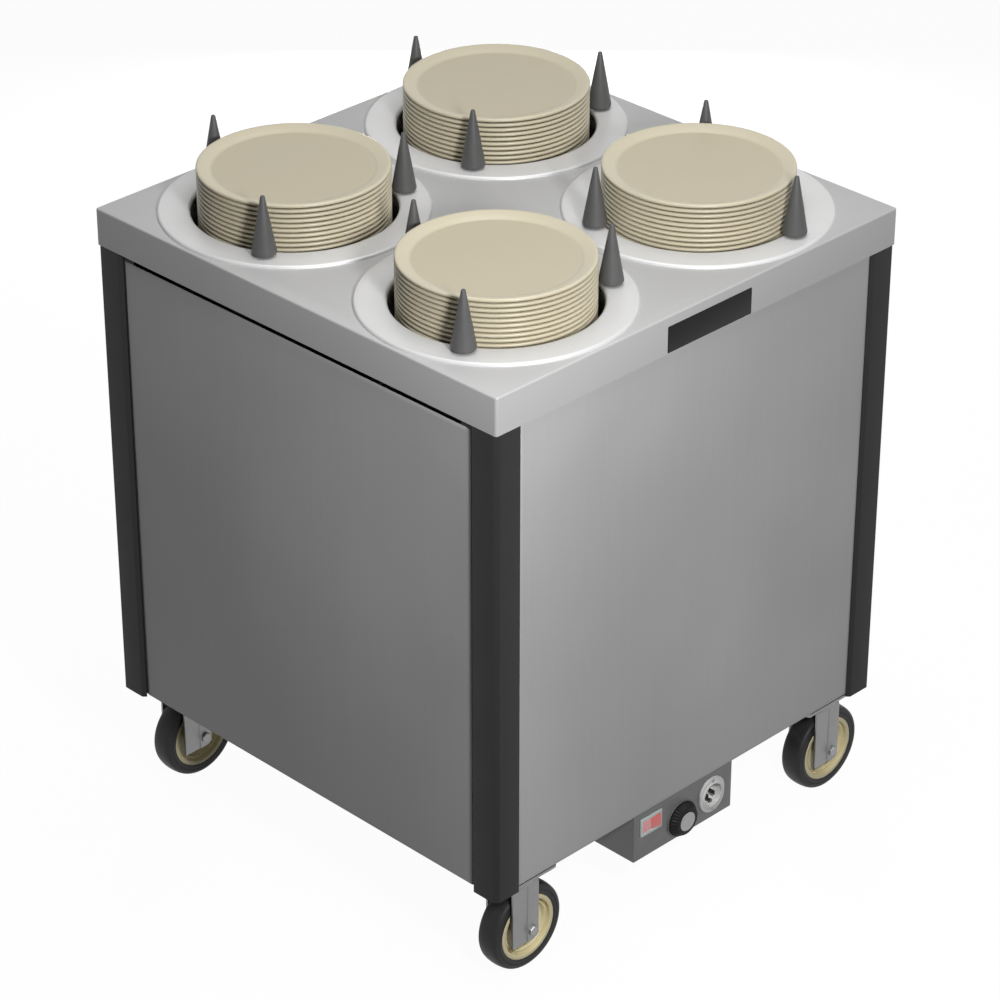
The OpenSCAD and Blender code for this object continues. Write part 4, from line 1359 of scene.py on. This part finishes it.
def inlet_flange(centre, front, back):
    """The flange with its collar, body and recess."""
    low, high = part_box("power_inlet")
    wide, tall = (high.x - low.x) / 2 - FLANGE_SIDE, (high.z - low.z) / 2 - FLANGE_SIDE
    face = front + FLANGE_STEP
    oval = []
    for quarter, (x, z) in enumerate(((1, 1), (-1, 1), (-1, -1), (1, -1))):
        corner = (centre.x + x * wide, centre.z + z * tall)
        oval += arc(corner, FLANGE_SIDE, 90 * quarter, 90 * quarter + 90, 10)
    plate = pulled("inlet_flange", [(x, centre.y, z) for x, z in oval], (0, face - centre.y, 0))
    round_rim(Y_AXIS, face, 0.8 * MM, 3)
    done()
    raised = [(0, back - centre.y), (INLET_BODY, back - centre.y), (INLET_BODY, -0.5 * MM)]
    raised += [(RECESS + 3.4 * MM, -0.5 * MM), (RECESS + 3 * MM, 0.4 * MM + front - centre.y)]
    raised += [(RECESS + 2.5 * MM, front - centre.y), (0, front - centre.y)]
    body = turned("body", raised, centre, axis="Y")
    cut_away(plate, [body], "UNION")
    mouth = (centre.x, front, centre.z)
    cut_away(plate, [drum("recess", mouth, RECESS, 2 * RECESS_DEEP, SIDE_STEPS, "Y")])
    soften(plate, 0.3 * MM, 2, 50)
    seat(plate, inlet_plastic, "cabinet", "power_inlet", crease=40)


def inlet_contacts(centre, floor):
    root, tip = floor + 0.5 * MM, floor - BLADE_LONG
    parts = []
    for across in (-BLADE_OUT, BLADE_OUT):
        spot = Vector((centre.x + across, 0, centre.z - MM))
        low, high = spot - BLADE, spot + BLADE
        blade = block("blade", (low.x, tip, low.z), (high.x, root, high.z))
        soften(blade, 0.5 * MM, 2, 60)
        parts.append(blade)
    half_way = (centre.x, (tip + root) / 2, centre.z - EARTH_DOWN)
    pin = drum("pin", half_way, EARTH_RADIUS, root - tip, 32, "Y")
    soften(pin, 0.9 * MM, 3, 60)
    seat(joined("inlet_contacts", [*parts, pin]), contact_metal, "cabinet", "power_inlet")


def inlet_screws(centre, front):
    screws = []
    for side in (-1, 1):
        spot = Vector((centre.x, front, centre.z + side * SCREW_OUT))
        head = millimetres([(0, 1.2), (3, 1.2), (2.9, 0.7), (2, 0.2), (0, 0)])
        screw = turned("screw", head, spot, axis="Y", steps=32)
        low = spot - Vector((2.2 * MM, MM, 0.35 * MM))
        high = spot + Vector((2.2 * MM, 0.6 * MM, 0.35 * MM))
        cut_away(screw, [block("slot", low, high)])
        screws.append(screw)
    seat(joined("inlet_screws", screws), bolt_zinc, "cabinet", "power_inlet")


inlet_low, inlet_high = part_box("power_inlet")
inlet_middle = Vector((middle("power_inlet").x, knob_face, middle("power_inlet").z))
inlet_flange(inlet_middle, inlet_low.y, inlet_high.y)
inlet_contacts(inlet_middle, inlet_low.y + RECESS_DEEP)
inlet_screws(inlet_middle, inlet_low.y)

# %% [markdown]
# Nine springs hang each plate carrier from its well's flange. One spring is wound with a screw
# modifier and gets a loop at each end. Its copies stand in rows of three at the carrier's arms.
# They stretch when the carrier goes down.

# %% Carrier springs
SPRING_RADIUS = 5.5 * MM
WIRE = 1.1 * MM
LOOP = 4 * MM
HOOK = 14 * MM
COILS = 34
SPRING_GAP = 19 * MM
TEE_RADIUS = 151 * MM
ARM_TURNS = (60, 180, 300)


def spring(bottom, top):
    """One spring on the upright axis through the origin."""
    start_clean()
    body = top - bottom - 2 * HOOK
    start = (SPRING_RADIUS - WIRE, 0, bottom + HOOK)
    bpy.ops.mesh.primitive_circle_add(
        vertices=6, radius=WIRE, location=start, rotation=(QUARTER, 0, 0)
    )
    coil = bpy.context.object
    apply_place()
    run_modifier(
        coil, "SCREW", angle=FULL_TURN, screw_offset=body / COILS, iterations=COILS, steps=12,
        render_steps=12, axis="Z", use_merge_vertices=True, merge_threshold=0.001 * MM,
    )
    parts = [coil]
    for end, inward in ((bottom, 1), (top, -1)):
        start_clean()
        bpy.ops.mesh.primitive_torus_add(
            major_radius=LOOP, minor_radius=WIRE, major_segments=20, minor_segments=6,
            location=(0, 0, end + inward * (LOOP + WIRE)), rotation=(QUARTER, 0, 0),
        )
        parts.append(bpy.context.object)
        apply_place()
        reach = sorted((end + inward * (2 * LOOP + WIRE), end + inward * (HOOK + MM)))
        stem = drum("stem", (0, 0, sum(reach) / 2), WIRE, reach[1] - reach[0], 6)
        parts.append(stem)
    return joined("spring", parts)


def carrier_springs(corner, model):
    node = corner + "_carrier_springs"
    well = middle(corner + "_flange_ring")
    copies = []
    for arm in ARM_TURNS:
        turn = math.radians(GUIDE_TURNS[corner] + arm)
        for row in (-SPRING_GAP, 0, SPRING_GAP):
            x = well.x + TEE_RADIUS * math.cos(turn) - row * math.sin(turn)
            y = well.y + TEE_RADIUS * math.sin(turn) + row * math.cos(turn)
            copies.append(copy_of(model, "spring", move=(x, y, 0)))
    springs = joined(corner + "_springs", copies)
    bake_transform(springs)
    dress(springs, wire_steel, node, crease=60)


spring_low, spring_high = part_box("front_left_carrier_springs")
model_spring = spring(spring_low.z, spring_high.z)
for corner in CORNERS:
    carrier_springs(corner, model_spring)
bpy.data.objects.remove(model_spring)

# %% [markdown]
# The cart stands on a pale floor. The camera, reflections and glass see it as plain white, and
# it still takes a faint shadow, because the glow is added to an ordinary matt surface.

# %% Floor
FLOOR_HALF = 30.0
FLOOR_GLOW = 0.96


def seen_only(tree, target, glow, light=0.0):
    """Feeds a socket with a light for all, and a glow for camera, glossy and transmission rays."""
    rays = tree.nodes.new("ShaderNodeLightPath")
    seen = rays.outputs["Is Camera Ray"]
    for ray in ("Is Glossy Ray", "Is Transmission Ray"):
        either = tree.nodes.new("ShaderNodeMath")
        either.operation = "MAXIMUM"
        tree.links.new(seen, either.inputs[0])
        tree.links.new(rays.outputs[ray], either.inputs[1])
        seen = either.outputs[0]
    strength = tree.nodes.new("ShaderNodeMath")
    strength.operation = "MULTIPLY_ADD"
    strength.inputs[1].default_value = glow
    strength.inputs[2].default_value = light
    tree.links.new(seen, strength.inputs[0])
    tree.links.new(strength.outputs[0], target)


def white_floor():
    start_clean()
    bpy.ops.mesh.primitive_plane_add(size=2 * FLOOR_HALF, location=(0, 0, -0.4 * MM))
    floor = bpy.context.object
    floor.name = "floor"
    material = bpy.data.materials.new("floor_white")
    material.use_nodes = True
    tree = material.node_tree
    tree.nodes.clear()
    paper = tree.nodes.new("ShaderNodeBsdfDiffuse")
    paper.inputs["Color"].default_value = tone(60)
    white = tree.nodes.new("ShaderNodeEmission")
    seen_only(tree, white.inputs["Strength"], FLOOR_GLOW)
    both = tree.nodes.new("ShaderNodeAddShader")
    tree.links.new(paper.outputs[0], both.inputs[0])
    tree.links.new(white.outputs[0], both.inputs[1])
    output = tree.nodes.new("ShaderNodeOutputMaterial")
    tree.links.new(both.outputs[0], output.inputs["Surface"])
    floor.data.materials.append(material)


white_floor()
print("floor", FLOOR_HALF * 2, "m across")

# %% [markdown]
# The key lamp stands near the front corner, a little to the right of the camera. It is close, so
# its light falls off along the sides, and it leaves the left side in half shade. A wide soft lamp
# overhead lights the deck and the plates evenly. A low lamp behind the cart lights the two sides
# that the main view does not show, and stays below the deck. The world adds a little all round,
# and shows white to the camera and in the metal, as the floor does.

# %% Lamps
CORNER_TOP = Vector((-0.36, -0.36, 0.84))
KEY_AZIMUTH = -22
KEY_ELEVATION = 29
KEY_DISTANCE = 1.7
KEY_SIZE = 0.3
KEY_POWER = 33
SKY_HEIGHT = 3.4
SKY_SIZE = 2.2
SKY_POWER = 50
SKY_SPOT = Vector((0.2, -0.2, 0))
FILL_DISTANCE = 2.6
FILL_SIZE = 0.8
FILL_POWER = 55
FILL_AZIMUTH = 135
FILL_ELEVATION = -2
CART_MIDDLE = Vector((0, 0, 0.45))
WORLD_LIGHT = 0.03
BACKDROP_GLOW = 0.94


def around(azimuth, elevation, distance, aim):
    """A place seen from the aim at an azimuth and elevation."""
    turn, rise = math.radians(azimuth), math.radians(elevation)
    flat = math.cos(rise) * distance
    return aim + Vector((math.sin(turn) * flat, -math.cos(turn) * flat, math.sin(rise) * distance))


def lamp(name, place, aim, size, power):
    light = bpy.data.lights.new(name, "AREA")
    light.shape = "SQUARE"
    light.size = size
    light.energy = power
    holder = bpy.data.objects.new(name, light)
    bpy.context.scene.collection.objects.link(holder)
    holder.location = place
    holder.rotation_euler = (aim - place).to_track_quat("-Z", "Y").to_euler()
    holder.visible_camera = False


key_place = around(KEY_AZIMUTH, KEY_ELEVATION, KEY_DISTANCE, CORNER_TOP)
fill_place = around(FILL_AZIMUTH, FILL_ELEVATION, FILL_DISTANCE, CART_MIDDLE)
lamp("key", key_place, CORNER_TOP, KEY_SIZE, KEY_POWER)
lamp("sky", SKY_SPOT + Vector((0, 0, SKY_HEIGHT)), SKY_SPOT, SKY_SIZE, SKY_POWER)
lamp("fill", fill_place, CART_MIDDLE, FILL_SIZE, FILL_POWER)
world = bpy.data.worlds.new("studio")
bpy.context.scene.world = world
world.use_nodes = True
backdrop = world.node_tree.nodes["Background"]
backdrop.inputs["Color"].default_value = (1, 1, 1, 1)
seen_only(world.node_tree, backdrop.inputs["Strength"], BACKDROP_GLOW, WORLD_LIGHT)
print("lamps", [thing.name for thing in bpy.data.lights])

# %% [markdown]
# The camera stands where a camera fitted to the photograph's straight edges stood: at an azimuth
# of -45 degrees, looking 31 degrees down, with a long lens.

# %% Camera
CAMERA_OUT = 3.215
CAMERA_HIGH = 3.0755
CAMERA_DOWN = 30.91
FOCAL_LENGTH = 139.2

lens = bpy.data.cameras.new("camera")
lens.sensor_width = 36
lens.lens = FOCAL_LENGTH
lens.shift_x, lens.shift_y = 0.0037, 0.0654
lens.clip_start, lens.clip_end = 0.1, 60
camera = bpy.data.objects.new("camera", lens)
camera.location = (-CAMERA_OUT, -CAMERA_OUT, CAMERA_HIGH)
camera.rotation_euler = (math.radians(90 - CAMERA_DOWN), 0, math.radians(-45))
bpy.context.scene.collection.objects.link(camera)
bpy.context.scene.camera = camera
bpy.context.scene.view_settings.view_transform = "Standard"
print("camera", camera.location[:])
